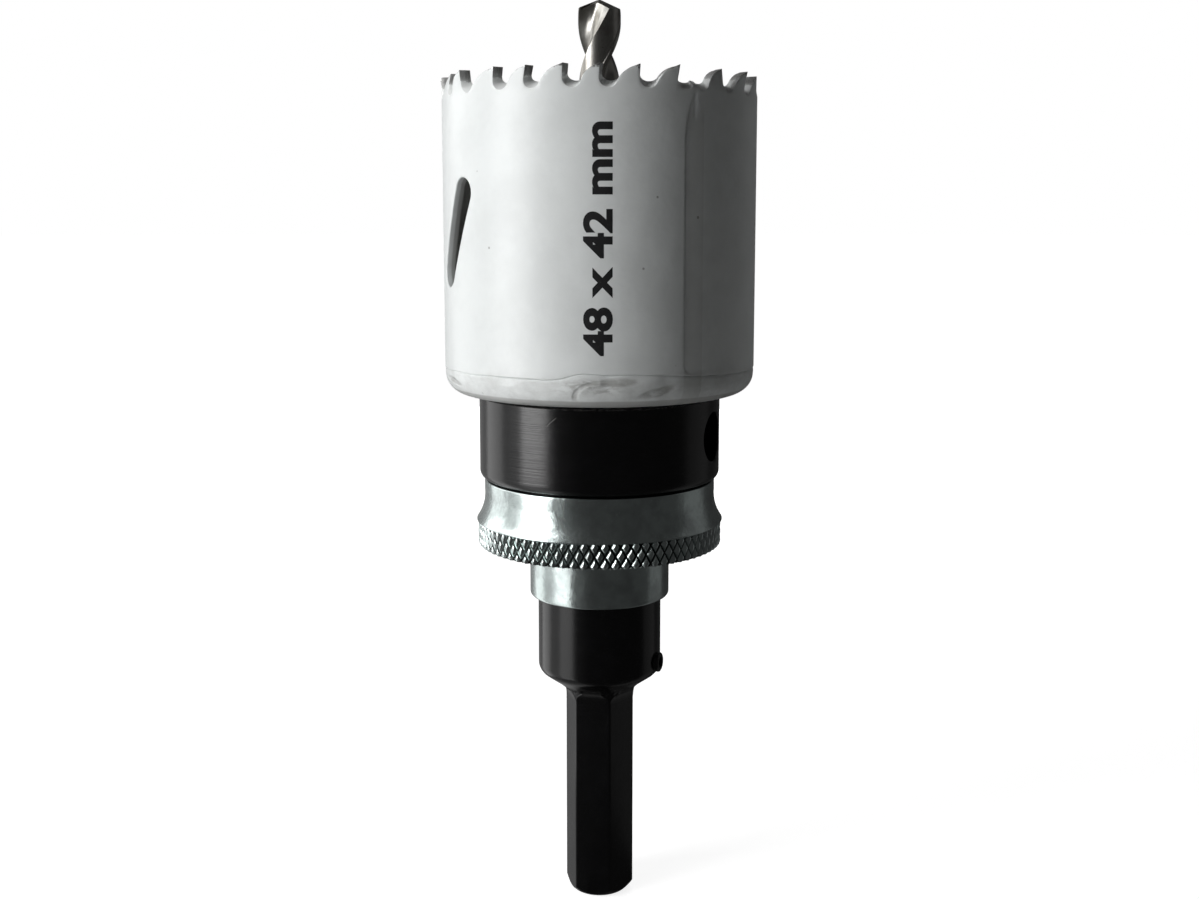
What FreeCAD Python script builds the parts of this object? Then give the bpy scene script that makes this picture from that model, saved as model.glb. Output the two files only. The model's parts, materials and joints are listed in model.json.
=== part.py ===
import FreeCAD, Part
import math
import os
import Sketcher

# Hole saw arbor with its saw and pilot drill, in millimetres.
# The axis of rotation is Z. The origin is the centre of the shank's end face,
# and the drill points up. Azimuths are measured from the front (-Y) towards +X.

PARTS = "parts"
os.makedirs(PARTS, exist_ok=True)

SIZES = {
    # hexagonal shank and its shoulder
    "shank_flats": 9.4,
    "shank_length": 32.8,
    "shank_chamfer": 1.1,
    "shank_azimuth": -13.0,
    "flat_runout_radius": 3.0,
    "flat_runout_drop": 1.4,
    "shoulder_height": 4.8,
    # round barrel that the sleeve slides on
    "barrel_diameter": 19.1,
    "barrel_length": 42.5,
    "guide_flat_depth": 1.65,
    "guide_run_out": 1.6,
    "pull_back": 7.0,
    # threaded nose that carries the saw
    "nose_diameter": 15.875,
    "nose_length": 6.3,
    "nose_chamfer": 0.9,
    "nose_relief_width": 1.2,
    "nose_relief_depth": 0.6,
    # pilot drill
    "pilot_diameter": 6.35,
    "pilot_length": 103.0,
    "pilot_tail": 2.5,
    "pilot_point_angle": 135.0,
    "pilot_chamfer": 0.4,
    "flute_length": 50.0,
    "flute_lead": 42.0,
    "flute_start_azimuth": 177.6,
    "flute_diameter": 17.6,
    "web_thickness": 1.5,
    "seat_flat_depth": 0.35,
    "seat_flat_length": 6.0,
    # set screw that holds the drill
    "screw_diameter": 3.0,
    "screw_rise": 0.3,
    "screw_azimuth": 69.0,
    "screw_stand_out": 0.6,
    "screw_socket": 1.5,
    "screw_socket_depth": 1.4,
    # toothed shell of the saw
    "saw_diameter": 47.0,
    "saw_wall": 1.5,
    "saw_height": 46.6,
    "tooth_height": 3.2,
    "tooth_count": 26,
    "tooth_set": 0.5,
    "tooth_bend_height": 0.4,
    "tooth_rake": 5.0,
    "tooth_back_bulge": 0.35,
    "tooth_land": 0.7,
    "tooth_relief": 14.0,
    "gullet_radius": 1.15,
    "gullet_slant": 45.0,
    "first_tooth_azimuth": 26.9,
    "seam_gap_angle": 7.0,
    "seam_azimuth": 33.7,
    "seam_width": 3.1,
    "seam_height": 35.5,
    "seam_foot": 0.6,
    "seam_stand_out": 0.12,
    # slanted slots that let the plug be pushed out
    "slot_count": 2,
    "slot_width": 4.4,
    "slot_length": 16.8,
    "slot_height": 24.0,
    "slot_tilt": 24.8,
    "slot_azimuth": -62.1,
    # end plate of the saw
    "cap_flange_height": 3.8,
    "cap_spigot_height": 0.8,
    "cap_diameter": 46.8,
    "cap_corner_radius": 3.0,
    # drive plate and its pins
    "plate_diameter": 36.8,
    "plate_thickness": 13.3,
    "plate_top_chamfer": 0.7,
    "plate_bottom_radius": 1.2,
    "plate_shoulder": 2.55,
    "plate_spigot_length": 3.6,
    "bar_hole_diameter": 7.4,
    "bar_hole_depth": 5.4,
    "bar_hole_drop": 6.3,
    "bar_hole_azimuth": 68.8,
    "pin_diameter": 5.0,
    "pin_inset": 3.7,
    "pin_floor": 0.5,
    "pin_stand_out": 4.2,
    "pin_chamfer": 0.6,
    # release sleeve
    "sleeve_gap": 0.2,
    "sleeve_wall": 1.79,
    "sleeve_lip_flare": 1.3,
    "sleeve_height": 9.8,
    "sleeve_rim_height": 1.7,
    "sleeve_rim_chamfer": 0.3,
    "sleeve_flare_radius": 7.0,
    "sleeve_lip_height": 0.5,
    "sleeve_floor": 1.8,
    "knurl_inset": 0.3,
    "knurl_height": 3.4,
    "knurl_chamfer": 0.4,
    "hub_wall": 1.19,
    "hub_length": 8.6,
    "hub_chamfer": 0.4,
    # spring, its seat and the rings
    "spring_wire": 1.1,
    "spring_turns": 4.5,
    "spring_side_clearance": 0.6,
    "spring_room_clearance": 0.35,
    "spring_room_depth": 11.0,
    "washer_thickness": 1.0,
    "washer_width": 1.69,
    "circlip_thickness": 1.1,
    "circlip_width": 1.6,
    "circlip_groove_depth": 0.6,
    "circlip_opening": 70.0,
    "snap_ring_thickness": 1.0,
    "snap_ring_width": 1.0,
    "snap_ring_drop": 1.6,
    "snap_ring_opening": 30.0,
    # clearances, each between two radii or two faces
    "running_clearance": 0.06,
    "fit_clearance": 0.02,
    "thread_clearance": 0.08,
    "pin_hole_clearance": 0.3,
    "groove_clearance": 0.05,
    "stop_clearance": 0.3,
}

# Heights above the shank's end, worked out from the sizes.
LEVELS = {
    "barrel_bottom": "Sizes.shank_length + Sizes.shoulder_height",
    "saw_seat": "Sizes.shank_length + Sizes.shoulder_height + Sizes.barrel_length",
    "nose_top": "saw_seat + Sizes.nose_length",
    "screw_centre": "barrel_bottom + Sizes.screw_rise",
    "pilot_bottom": "screw_centre - Sizes.pilot_tail",
    "pilot_tip": "pilot_bottom + Sizes.pilot_length",
    "shell_bottom": "saw_seat + Sizes.cap_flange_height",
    "cap_top": "shell_bottom + Sizes.cap_spigot_height",
    "saw_top": "saw_seat + Sizes.saw_height",
    "gullet_line": "saw_top - Sizes.tooth_height",
    "plate_bottom": "saw_seat - Sizes.plate_thickness",
    "spigot_bottom": "plate_bottom - Sizes.plate_spigot_length",
    "sleeve_top": "plate_bottom - Sizes.sleeve_gap",
    "sleeve_bottom": "sleeve_top - Sizes.sleeve_height",
    "floor_top": "sleeve_bottom + Sizes.sleeve_floor",
    "hub_bottom": "sleeve_bottom - Sizes.hub_length",
    "knurl_top": "sleeve_bottom + Sizes.knurl_height",
    "circlip_bottom": "floor_top + Sizes.stop_clearance",
    "circlip_top": "circlip_bottom + Sizes.circlip_thickness",
    "washer_bottom": "circlip_top + Sizes.fit_clearance",
    "washer_top": "washer_bottom + Sizes.washer_thickness",
    "spring_room_top": "spigot_bottom + Sizes.spring_room_depth",
    "guide_bottom": "spring_room_top - Sizes.pull_back - Sizes.guide_run_out",
    "snap_ring_top": "plate_bottom - Sizes.snap_ring_drop",
    "snap_ring_bottom": "snap_ring_top - Sizes.snap_ring_thickness",
    "pin_bottom": "spring_room_top + Sizes.pin_floor",
    "pin_top": "saw_seat + Sizes.pin_stand_out",
}

doc = FreeCAD.newDocument("hole_saw_arbor")
sheet = doc.addObject("Spreadsheet::Sheet", "Sizes")
for row, (alias, value) in enumerate(SIZES.items(), start=1):
    sheet.set(f"A{row}", alias)
    sheet.set(f"B{row}", str(value))
    sheet.setAlias(f"B{row}", alias)
levels = doc.addObject("Spreadsheet::Sheet", "Levels")
for row, (alias, formula) in enumerate(LEVELS.items(), start=1):
    levels.set(f"A{row}", alias)
    levels.set(f"B{row}", "=" + formula)
    levels.setAlias(f"B{row}", alias)
doc.recompute()


def size(name):
    """A driving dimension from the sheet, as a number."""
    return float(getattr(sheet, name))


def level(name):
    """A height worked out from the sizes, as a number."""
    return float(getattr(levels, name))


def evaluate(expression):
    """The value of an expression on the two sheets."""
    return float(sheet.evalExpression(expression))


# The body of each sub-part, by its label, in the order it is made.
PIECES = {}


def new_body(label):
    """An empty body that becomes one sub-part."""
    body = doc.addObject("PartDesign::Body", label + "_body")
    body.Label = label
    PIECES[label] = body
    return body


def plane(body, role):
    """One of a body's own origin planes."""
    for feature in body.Origin.OriginFeatures:
        if feature.Role == role:
            return feature
    raise ValueError(role)


def new_sketch(body, name, turn=None, out=None):
    """A sketch on the front plane, turned about the axis to face an azimuth.

    It lies on the axis, or further out by a distance where that is given.
    """
    sketch = body.newObject("Sketcher::SketchObject", name)
    sketch.AttachmentSupport = [(plane(body, "XZ_Plane"), "")]
    sketch.MapMode = "FlatFace"
    if turn is not None:
        sketch.AttachmentOffset = FreeCAD.Placement(
            FreeCAD.Vector(0, 0, 0), FreeCAD.Rotation(FreeCAD.Vector(0, 1, 0), 1.0))
        sketch.setExpression("AttachmentOffset.Rotation.Angle", turn)
    if out is not None:
        sketch.setExpression("AttachmentOffset.Base.x", f"({out}) * sin(({turn}) * 1 deg)")
        sketch.setExpression("AttachmentOffset.Base.z", f"({out}) * cos(({turn}) * 1 deg)")
    return sketch


def fix_point(sketch, edge, end, across, along):
    """Hold one end of an edge at a place given by two expressions."""
    for kind, zero_axis, expression in (("DistanceX", -2, across), ("DistanceY", -1, along)):
        if expression == "0":
            sketch.addConstraint(Sketcher.Constraint("PointOnObject", edge, end, zero_axis))
            continue
        value = evaluate(expression)
        index = sketch.addConstraint(Sketcher.Constraint(kind, -1, 1, edge, end, value))
        sketch.setExpression(f"Constraints[{index}]", expression)


def closed_profile(sketch, corners):
    """A closed outline through corners, each (across, along) or (across, along, arc).

    The arc, where given, is (radius, bulge) for the edge that starts at the corner,
    with bulge +1 or -1 for the side that it curves to.
    """
    points = [FreeCAD.Vector(evaluate(c[0]), evaluate(c[1]), 0) for c in corners]
    count = len(points)
    for index, corner in enumerate(corners):
        start = points[index]
        end = points[(index + 1) % count]
        if len(corner) == 2:
            sketch.addGeometry(Part.LineSegment(start, end), False)
            continue
        radius, bulge = corner[2]
        chord = end - start
        half = chord.Length / 2
        rise = evaluate(radius) - math.sqrt(max(evaluate(radius) ** 2 - half ** 2, 0.0))
        normal = FreeCAD.Vector(-chord.y, chord.x, 0).normalize()
        middle = (start + end) * 0.5 + normal * (rise * bulge)
        sketch.addGeometry(Part.Arc(start, middle, end), False)
    ends = []
    for index, corner in enumerate(corners):
        first, last = 1, 2
        if len(corner) == 3:
            near = sketch.getPoint(index, 1).distanceToPoint(points[index])
            if near > 1e-6:
                first, last = 2, 1
        ends.append((first, last))
    for index, corner in enumerate(corners):
        following = (index + 1) % count
        sketch.addConstraint(Sketcher.Constraint(
            "Coincident", index, ends[index][1], following, ends[following][0]))
        fix_point(sketch, index, ends[index][0], corner[0], corner[1])
        if len(corner) == 3:
            radius = corner[2][0]
            constraint = sketch.addConstraint(
                Sketcher.Constraint("Radius", index, evaluate(radius)))
            sketch.setExpression(f"Constraints[{constraint}]", radius)


def turned(body, name, corners, opening=None):
    """A solid turned about the axis from an outline of (radius, height) corners.

    An opening, in degrees, leaves a split ring.
    """
    sketch = new_sketch(body, name + "_outline")
    closed_profile(sketch, corners)
    turn = body.newObject("PartDesign::Revolution", name)
    turn.Profile = sketch
    turn.ReferenceAxis = (sketch, ["V_Axis"])
    turn.Angle = 360.0
    if opening is not None:
        turn.setExpression("Angle", f"360 - {opening}")
    return turn


def repeat(body, name, feature, copies):
    """Copies of a feature at even angles about the axis."""
    pattern = body.newObject("PartDesign::PolarPattern", name)
    pattern.Originals = [feature]
    pattern.Axis = (plane(body, "Z_Axis"), [""])
    pattern.Angle = 360.0
    pattern.Occurrences = copies
    body.Tip = pattern
    return pattern


def cut_across(body, name, corners, width, turn, copies=1):
    """Cut an outline of (across, height) corners to both sides of an azimuth's plane."""
    sketch = new_sketch(body, name + "_outline", turn)
    closed_profile(sketch, corners)
    pocket = body.newObject("PartDesign::Pocket", name)
    pocket.Profile = sketch
    pocket.Midplane = True
    pocket.setExpression("Length", width)
    if copies > 1:
        repeat(body, name + "_pattern", pocket, copies)


def add_circle(sketch, across, along, diameter):
    """A circle in a sketch, held by its centre and its diameter."""
    centre = FreeCAD.Vector(evaluate(across), evaluate(along), 0)
    sketch.addGeometry(Part.Circle(centre, FreeCAD.Vector(0, 0, 1), evaluate(diameter) / 2), False)
    fix_point(sketch, 0, 3, across, along)
    index = sketch.addConstraint(Sketcher.Constraint("Diameter", 0, evaluate(diameter)))
    sketch.setExpression(f"Constraints[{index}]", diameter)


def radial_hole(body, name, height, diameter, depth, turn, out="0"):
    """A round hole that points outwards at an azimuth, from a distance off the axis."""
    sketch = new_sketch(body, name + "_outline", turn, out)
    add_circle(sketch, "0", height, diameter)
    pocket = body.newObject("PartDesign::Pocket", name)
    pocket.Profile = sketch
    pocket.Reversed = True
    pocket.setExpression("Length", depth)


def pin_holes(body, name, diameter, bottom, depth):
    """Holes for the two drive pins, upwards from a height."""
    sketch = body.newObject("Sketcher::SketchObject", name + "_outline")
    sketch.AttachmentSupport = [(plane(body, "XY_Plane"), "")]
    sketch.MapMode = "FlatFace"
    sketch.AttachmentOffset = FreeCAD.Placement(
        FreeCAD.Vector(0, 0, 0), FreeCAD.Rotation(FreeCAD.Vector(0, 0, 1), 1.0))
    sketch.setExpression("AttachmentOffset.Rotation.Angle", PIN_ANGLE)
    sketch.setExpression("AttachmentOffset.Base.z", bottom)
    add_circle(sketch, PIN_RADIUS, "0", diameter)
    pocket = body.newObject("PartDesign::Pocket", name)
    pocket.Profile = sketch
    pocket.Reversed = True
    pocket.setExpression("Length", depth)
    repeat(body, name + "_pattern", pocket, PIN_COUNT)


# Radii that more than one piece uses.
SHANK_CORNER = "Sizes.shank_flats / 2 / cos(30 deg)"
BARREL = "Sizes.barrel_diameter / 2"
CIRCLIP_GROOVE = "(Sizes.barrel_diameter / 2 - Sizes.circlip_groove_depth)"
NOSE = "Sizes.nose_diameter / 2"
PILOT = "Sizes.pilot_diameter / 2"
GUIDE = f"({BARREL} - Sizes.guide_flat_depth)"
SPIGOT = "(Sizes.plate_diameter / 2 - Sizes.plate_shoulder)"
SNAP_RING_OUTER = f"({SPIGOT} + Sizes.snap_ring_width / 2)"
SNAP_RING_INNER = f"({SPIGOT} - Sizes.snap_ring_width / 2)"
SLEEVE_BORE = f"({SPIGOT} + Sizes.running_clearance)"
HUB_BORE = f"({BARREL} + Sizes.running_clearance)"
SPRING_INNER = f"({BARREL} + Sizes.spring_side_clearance)"
SPRING_ROOM = f"({SPRING_INNER} + Sizes.spring_wire + Sizes.spring_room_clearance)"
PIN_RADIUS = "(Sizes.plate_diameter / 2 - Sizes.pin_inset)"
SCREW_TIP = "(Sizes.pilot_diameter / 2 - Sizes.seat_flat_depth + Sizes.fit_clearance)"

# The drive pins stand opposite each other, a quarter turn from the bar hole.
PIN_ANGLE = "Sizes.bar_hole_azimuth"
PIN_COUNT = 2
PIN_NAMES = ("drive_pin_rear", "drive_pin_front")

# How often a feature repeats about the axis where its name fixes the number.
SHANK_SIDES = 6
GUIDE_SIDES = 2
FLUTE_COUNT = 2


def make_arbor_body():
    """Shank, shoulder, barrel and nose: one turned and milled piece of steel."""
    body = new_body("arbor_body")
    bore = f"{PILOT} + Sizes.running_clearance"
    bore_floor = "Levels.pilot_bottom - Sizes.fit_clearance"
    relief = f"{NOSE} - Sizes.nose_relief_depth"
    relief_top = "Levels.saw_seat + Sizes.nose_relief_width"
    groove_bottom = "Levels.circlip_bottom - Sizes.groove_clearance"
    groove_top = "Levels.circlip_top + Sizes.groove_clearance"
    turned(body, "arbor_turning", [
        ("0", "0"),
        (f"{SHANK_CORNER} - Sizes.shank_chamfer", "0"),
        (SHANK_CORNER, "Sizes.shank_chamfer"),
        (SHANK_CORNER, "Sizes.shank_length"),
        (BARREL, "Levels.barrel_bottom"),
        (BARREL, groove_bottom),
        (CIRCLIP_GROOVE, groove_bottom),
        (CIRCLIP_GROOVE, groove_top),
        (BARREL, groove_top),
        (BARREL, "Levels.saw_seat"),
        (relief, "Levels.saw_seat"),
        (relief, relief_top),
        (NOSE, f"{relief_top} + Sizes.nose_relief_depth"),
        (NOSE, "Levels.nose_top - Sizes.nose_chamfer"),
        (f"{NOSE} - Sizes.nose_chamfer", "Levels.nose_top"),
        (bore, "Levels.nose_top"),
        (bore, bore_floor),
        ("0", bore_floor),
    ])
    # Six milled flats, each with the run-out of the cutter at its top.
    flat = "Sizes.shank_flats / 2"
    runout = "Sizes.flat_runout_radius"
    runout_start = "Sizes.shank_length - Sizes.flat_runout_drop"
    cut_across(body, "shank_flat", [
        (flat, "-1 * Sizes.shank_chamfer"),
        (f"{flat} + {runout}", "-1 * Sizes.shank_chamfer"),
        (f"{flat} + {runout}", f"{runout_start} + {runout}", (runout, -1)),
        (flat, runout_start),
    ], "Sizes.barrel_diameter", "Sizes.shank_azimuth - 90", SHANK_SIDES)
    # The long flats that keep the drive plate from turning.
    cut_across(body, "guide_flat", [
        (GUIDE, "Levels.guide_bottom"),
        ("Sizes.barrel_diameter", "Levels.guide_bottom"),
        ("Sizes.barrel_diameter", "Levels.saw_seat"),
        (GUIDE, "Levels.saw_seat"),
    ], "Sizes.barrel_diameter", "Sizes.bar_hole_azimuth", GUIDE_SIDES)
    radial_hole(body, "screw_hole", "Levels.screw_centre", "Sizes.screw_diameter + 2 * Sizes.fit_clearance",
                "Sizes.barrel_diameter", "Sizes.screw_azimuth")


def make_pilot_drill():
    """Two-flute twist drill with a plain shank and a ground flat for the screw."""
    body = new_body("pilot_drill")
    point = f"{PILOT} / tan(Sizes.pilot_point_angle * 1 deg / 2)"
    turned(body, "drill_turning", [
        ("0", "Levels.pilot_bottom"),
        (f"{PILOT} - Sizes.pilot_chamfer", "Levels.pilot_bottom"),
        (PILOT, "Levels.pilot_bottom + Sizes.pilot_chamfer"),
        (PILOT, f"Levels.pilot_tip - {point}"),
        ("0", "Levels.pilot_tip"),
    ])
    flat_bottom = "Levels.screw_centre - Sizes.seat_flat_length / 2"
    flat_top = "Levels.screw_centre + Sizes.seat_flat_length / 2"
    cut_across(body, "seat_flat", [
        (f"{PILOT} - Sizes.seat_flat_depth", flat_bottom),
        ("Sizes.pilot_diameter", flat_bottom),
        ("Sizes.pilot_diameter", flat_top),
        (f"{PILOT} - Sizes.seat_flat_depth", flat_top),
    ], "Sizes.pilot_diameter", "Sizes.screw_azimuth - 90")
    sketch = new_sketch(body, "flute_outline", "Sizes.flute_start_azimuth")
    reach = "Sizes.web_thickness / 2 + Sizes.flute_diameter / 2"
    add_circle(sketch, reach, "Levels.pilot_tip - Sizes.flute_length", "Sizes.flute_diameter")
    flute = body.newObject("PartDesign::SubtractiveHelix", "flute")
    flute.Profile = sketch
    flute.ReferenceAxis = (sketch, ["V_Axis"])
    flute.Mode = 0
    flute.setExpression("Pitch", "Sizes.flute_lead")
    flute.setExpression("Height", "Sizes.flute_length + Sizes.flute_diameter")
    repeat(body, "flutes", flute, FLUTE_COUNT)


def make_drill_screw():
    """Set screw with a hexagon socket, pressing on the drill's flat."""
    body = new_body("pilot_set_screw")
    head = f"{BARREL} + Sizes.screw_stand_out"
    sketch = new_sketch(body, "screw_outline", "Sizes.screw_azimuth", SCREW_TIP)
    add_circle(sketch, "0", "Levels.screw_centre", "Sizes.screw_diameter")
    pad = body.newObject("PartDesign::Pad", "screw_pad")
    pad.Profile = sketch
    pad.setExpression("Length", f"{head} - {SCREW_TIP}")
    socket = new_sketch(body, "socket_outline", "Sizes.screw_azimuth", f"{head} - Sizes.screw_socket_depth")
    corner = "Sizes.screw_socket / 2 / cos(30 deg)"
    closed_profile(socket, [
        (f"{corner} * {across}", f"Levels.screw_centre + {corner} * {along}")
        for across, along in (("1", "0"), ("0.5", "cos(30 deg)"), ("-0.5", "cos(30 deg)"),
                              ("-1", "0"), ("-0.5", "-cos(30 deg)"), ("0.5", "-cos(30 deg)"))
    ])
    pocket = body.newObject("PartDesign::Pocket", "socket")
    pocket.Profile = socket
    pocket.Reversed = True
    pocket.setExpression("Length", "Sizes.screw_socket_depth")


def make_saw_end_plate():
    """Thick end plate of the saw, with the threaded bore and the two pin holes."""
    body = new_body("saw_end_plate")
    rim = "Sizes.cap_diameter / 2"
    corner = "Sizes.cap_corner_radius"
    bore = f"{NOSE} + Sizes.thread_clearance"
    spigot = "Sizes.saw_diameter / 2 - Sizes.saw_wall - Sizes.groove_clearance"
    turned(body, "plate_turning", [
        (bore, "Levels.saw_seat"),
        (f"{rim} - {corner}", "Levels.saw_seat", (corner, -1)),
        (rim, f"Levels.saw_seat + {corner}"),
        (rim, "Levels.shell_bottom"),
        (spigot, "Levels.shell_bottom"),
        (spigot, "Levels.cap_top"),
        (bore, "Levels.cap_top"),
    ])
    pin_holes(body, "pin_hole", "Sizes.pin_diameter + 2 * Sizes.pin_hole_clearance",
              "Levels.saw_seat", "Levels.cap_top - Levels.saw_seat")


def make_drive_plate():
    """Sliding plate with the double-D bore, the bar hole and the spring's room."""
    body = new_body("drive_plate")
    rim = "Sizes.plate_diameter / 2"
    radius = "Sizes.plate_bottom_radius"
    chamfer = "Sizes.plate_top_chamfer"
    top = "Levels.saw_seat - Sizes.fit_clearance"
    bore = f"{GUIDE} + Sizes.running_clearance"
    groove = f"{SNAP_RING_INNER} - Sizes.groove_clearance"
    groove_bottom = "Levels.snap_ring_bottom - Sizes.groove_clearance"
    groove_top = "Levels.snap_ring_top + Sizes.groove_clearance"
    turned(body, "plate_turning", [
        (bore, "Levels.spring_room_top"),
        (SPRING_ROOM, "Levels.spring_room_top"),
        (SPRING_ROOM, "Levels.spigot_bottom"),
        (SPIGOT, "Levels.spigot_bottom"),
        (SPIGOT, groove_bottom),
        (groove, groove_bottom),
        (groove, groove_top),
        (SPIGOT, groove_top),
        (SPIGOT, "Levels.plate_bottom"),
        (f"{rim} - {radius}", "Levels.plate_bottom", (radius, -1)),
        (rim, f"Levels.plate_bottom + {radius}"),
        (rim, f"{top} - {chamfer}"),
        (f"{rim} - {chamfer}", top),
        (bore, top),
    ])
    # The round sides of the double-D bore, on both sides of the flats.
    side = f"{BARREL} + Sizes.running_clearance"
    half_flat = f"sqrt(({side}) ^ 2 - ({bore}) ^ 2)"
    sketch = body.newObject("Sketcher::SketchObject", "bore_outline")
    sketch.AttachmentSupport = [(plane(body, "XY_Plane"), "")]
    sketch.MapMode = "FlatFace"
    sketch.AttachmentOffset = FreeCAD.Placement(
        FreeCAD.Vector(0, 0, 0), FreeCAD.Rotation(FreeCAD.Vector(0, 0, 1), 1.0))
    sketch.setExpression("AttachmentOffset.Rotation.Angle", PIN_ANGLE)
    sketch.setExpression("AttachmentOffset.Base.z", "Levels.spring_room_top - Sizes.fit_clearance")
    closed_profile(sketch, [
        (bore, f"-1 * {half_flat}"),
        (bore, half_flat, (side, -1)),
        (f"-1 * ({bore})", half_flat),
        (f"-1 * ({bore})", f"-1 * {half_flat}", (side, -1)),
    ])
    pocket = body.newObject("PartDesign::Pocket", "bore_sides")
    pocket.Profile = sketch
    pocket.Reversed = True
    pocket.setExpression("Length", "Sizes.plate_thickness")
    pin_holes(body, "pin_hole", "Sizes.pin_diameter + 2 * Sizes.fit_clearance",
              "Levels.pin_bottom - Sizes.fit_clearance", "Sizes.plate_thickness")
    radial_hole(body, "bar_hole", "Levels.saw_seat - Sizes.bar_hole_drop", "Sizes.bar_hole_diameter",
                "Sizes.plate_diameter", "Sizes.bar_hole_azimuth", f"{rim} - Sizes.bar_hole_depth")


def make_drive_pins():
    """Two dowels pressed into the plate, standing up into the saw's end plate."""
    for index, label in enumerate(PIN_NAMES):
        body = new_body(label)
        radius = "Sizes.pin_diameter / 2"
        turned(body, label + "_turning", [
            ("0", "Levels.pin_bottom"),
            (radius, "Levels.pin_bottom"),
            (radius, "Levels.pin_top - Sizes.pin_chamfer"),
            (f"{radius} - Sizes.pin_chamfer", "Levels.pin_top"),
            ("0", "Levels.pin_top"),
        ])
        angle = f"({PIN_ANGLE} + {index} * 360 / {PIN_COUNT}) * 1 deg"
        body.setExpression("Placement.Base.x", f"{PIN_RADIUS} * cos({angle})")
        body.setExpression("Placement.Base.y", f"{PIN_RADIUS} * sin({angle})")


def make_release_sleeve():
    """Flared sleeve with the knurled grip and the hub that slides on the barrel."""
    body = new_body("release_sleeve")
    waist = f"{SLEEVE_BORE} + Sizes.sleeve_wall"
    lip = f"{waist} + Sizes.sleeve_lip_flare"
    grip = f"{lip} - Sizes.knurl_inset"
    hub = f"{HUB_BORE} + Sizes.hub_wall"
    chamfer = "Sizes.knurl_chamfer"
    lip_bottom = "Levels.knurl_top + Sizes.knurl_inset"
    groove = f"{SNAP_RING_OUTER} + Sizes.groove_clearance"
    groove_bottom = "Levels.snap_ring_bottom - Sizes.groove_clearance"
    groove_top = "Levels.snap_ring_top + Sizes.groove_clearance"
    turned(body, "sleeve_turning", [
        (HUB_BORE, "Levels.hub_bottom"),
        (f"{hub} - Sizes.hub_chamfer", "Levels.hub_bottom"),
        (hub, "Levels.hub_bottom + Sizes.hub_chamfer"),
        (hub, "Levels.sleeve_bottom"),
        (f"{grip} - {chamfer}", "Levels.sleeve_bottom"),
        (grip, f"Levels.sleeve_bottom + {chamfer}"),
        (grip, "Levels.knurl_top"),
        (lip, lip_bottom),
        (lip, f"{lip_bottom} + Sizes.sleeve_lip_height", ("Sizes.sleeve_flare_radius", 1)),
        (waist, "Levels.sleeve_top - Sizes.sleeve_rim_height"),
        (waist, "Levels.sleeve_top - Sizes.sleeve_rim_chamfer"),
        (f"{waist} - Sizes.sleeve_rim_chamfer", "Levels.sleeve_top"),
        (SLEEVE_BORE, "Levels.sleeve_top"),
        (SLEEVE_BORE, groove_top),
        (groove, groove_top),
        (groove, groove_bottom),
        (SLEEVE_BORE, groove_bottom),
        (SLEEVE_BORE, "Levels.floor_top"),
        (HUB_BORE, "Levels.floor_top"),
    ])


def make_rings():
    """The circlip and washer that carry the spring, and the ring that holds the sleeve."""
    circlip_inner = f"{CIRCLIP_GROOVE} + Sizes.groove_clearance"
    rings = (
        ("barrel_circlip", circlip_inner, f"{circlip_inner} + Sizes.circlip_width",
         "Levels.circlip_bottom", "Levels.circlip_top", "Sizes.circlip_opening"),
        ("spring_seat_washer", HUB_BORE, f"{HUB_BORE} + Sizes.washer_width",
         "Levels.washer_bottom", "Levels.washer_top", None),
        ("sleeve_snap_ring", SNAP_RING_INNER, SNAP_RING_OUTER,
         "Levels.snap_ring_bottom", "Levels.snap_ring_top", "Sizes.snap_ring_opening"),
    )
    for label, inner, outer, bottom, top, opening in rings:
        body = new_body(label)
        turned(body, label + "_turning", [
            (inner, bottom), (outer, bottom), (outer, top), (inner, top),
        ], opening)


def make_sleeve_spring():
    """Compression spring between the washer and the roof of its room in the plate."""
    body = new_body("sleeve_spring")
    sketch = new_sketch(body, "wire_outline")
    start = "Levels.washer_top + Sizes.fit_clearance + Sizes.spring_wire / 2"
    finish = "Levels.spring_room_top - Sizes.fit_clearance - Sizes.spring_wire / 2"
    centre = f"{SPRING_INNER} + Sizes.spring_wire / 2"
    add_circle(sketch, centre, start, "Sizes.spring_wire")
    coil = body.newObject("PartDesign::AdditiveHelix", "coil")
    coil.Profile = sketch
    coil.ReferenceAxis = (sketch, ["V_Axis"])
    coil.Mode = 0
    coil.setExpression("Pitch", f"({finish} - ({start})) / Sizes.spring_turns")
    coil.setExpression("Height", f"{finish} - ({start})")


# Widths of the gaps between neighbouring teeth, as shares of the mean, which the
# strip repeats so that no two teeth in a row strike at the same beat.
PITCH_PATTERN = (0.972, 0.994, 0.882, 1.024, 0.904, 1.226)

# The way that each tooth in a row leans: outwards, inwards, then straight.
SET_PATTERN = (1, -1, 0)


def facing(shape, azimuth):
    """A shape drawn at the front, turned to an azimuth."""
    turned_shape = shape.copy()
    turned_shape.rotate(FreeCAD.Vector(0, 0, 0), FreeCAD.Vector(0, 0, 1), azimuth)
    return turned_shape


def front_prism(wire, depth):
    """A wire drawn in the front plane, made a prism from the axis outwards."""
    return Part.Face(wire).extrude(FreeCAD.Vector(0, -depth, 0))


def ring_between(inner, outer, bottom, top, inner_top=None, outer_top=None):
    """A ring about the axis, whose radii may differ at its top."""
    inner_top = inner if inner_top is None else inner_top
    outer_top = outer if outer_top is None else outer_top
    corners = [(inner, bottom), (outer, bottom), (outer_top, top), (inner_top, top), (inner, bottom)]
    wire = Part.makePolygon([FreeCAD.Vector(radius, 0, height) for radius, height in corners])
    return Part.Face(wire).revolve(FreeCAD.Vector(0, 0, 0), FreeCAD.Vector(0, 0, 1), 360)


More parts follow.
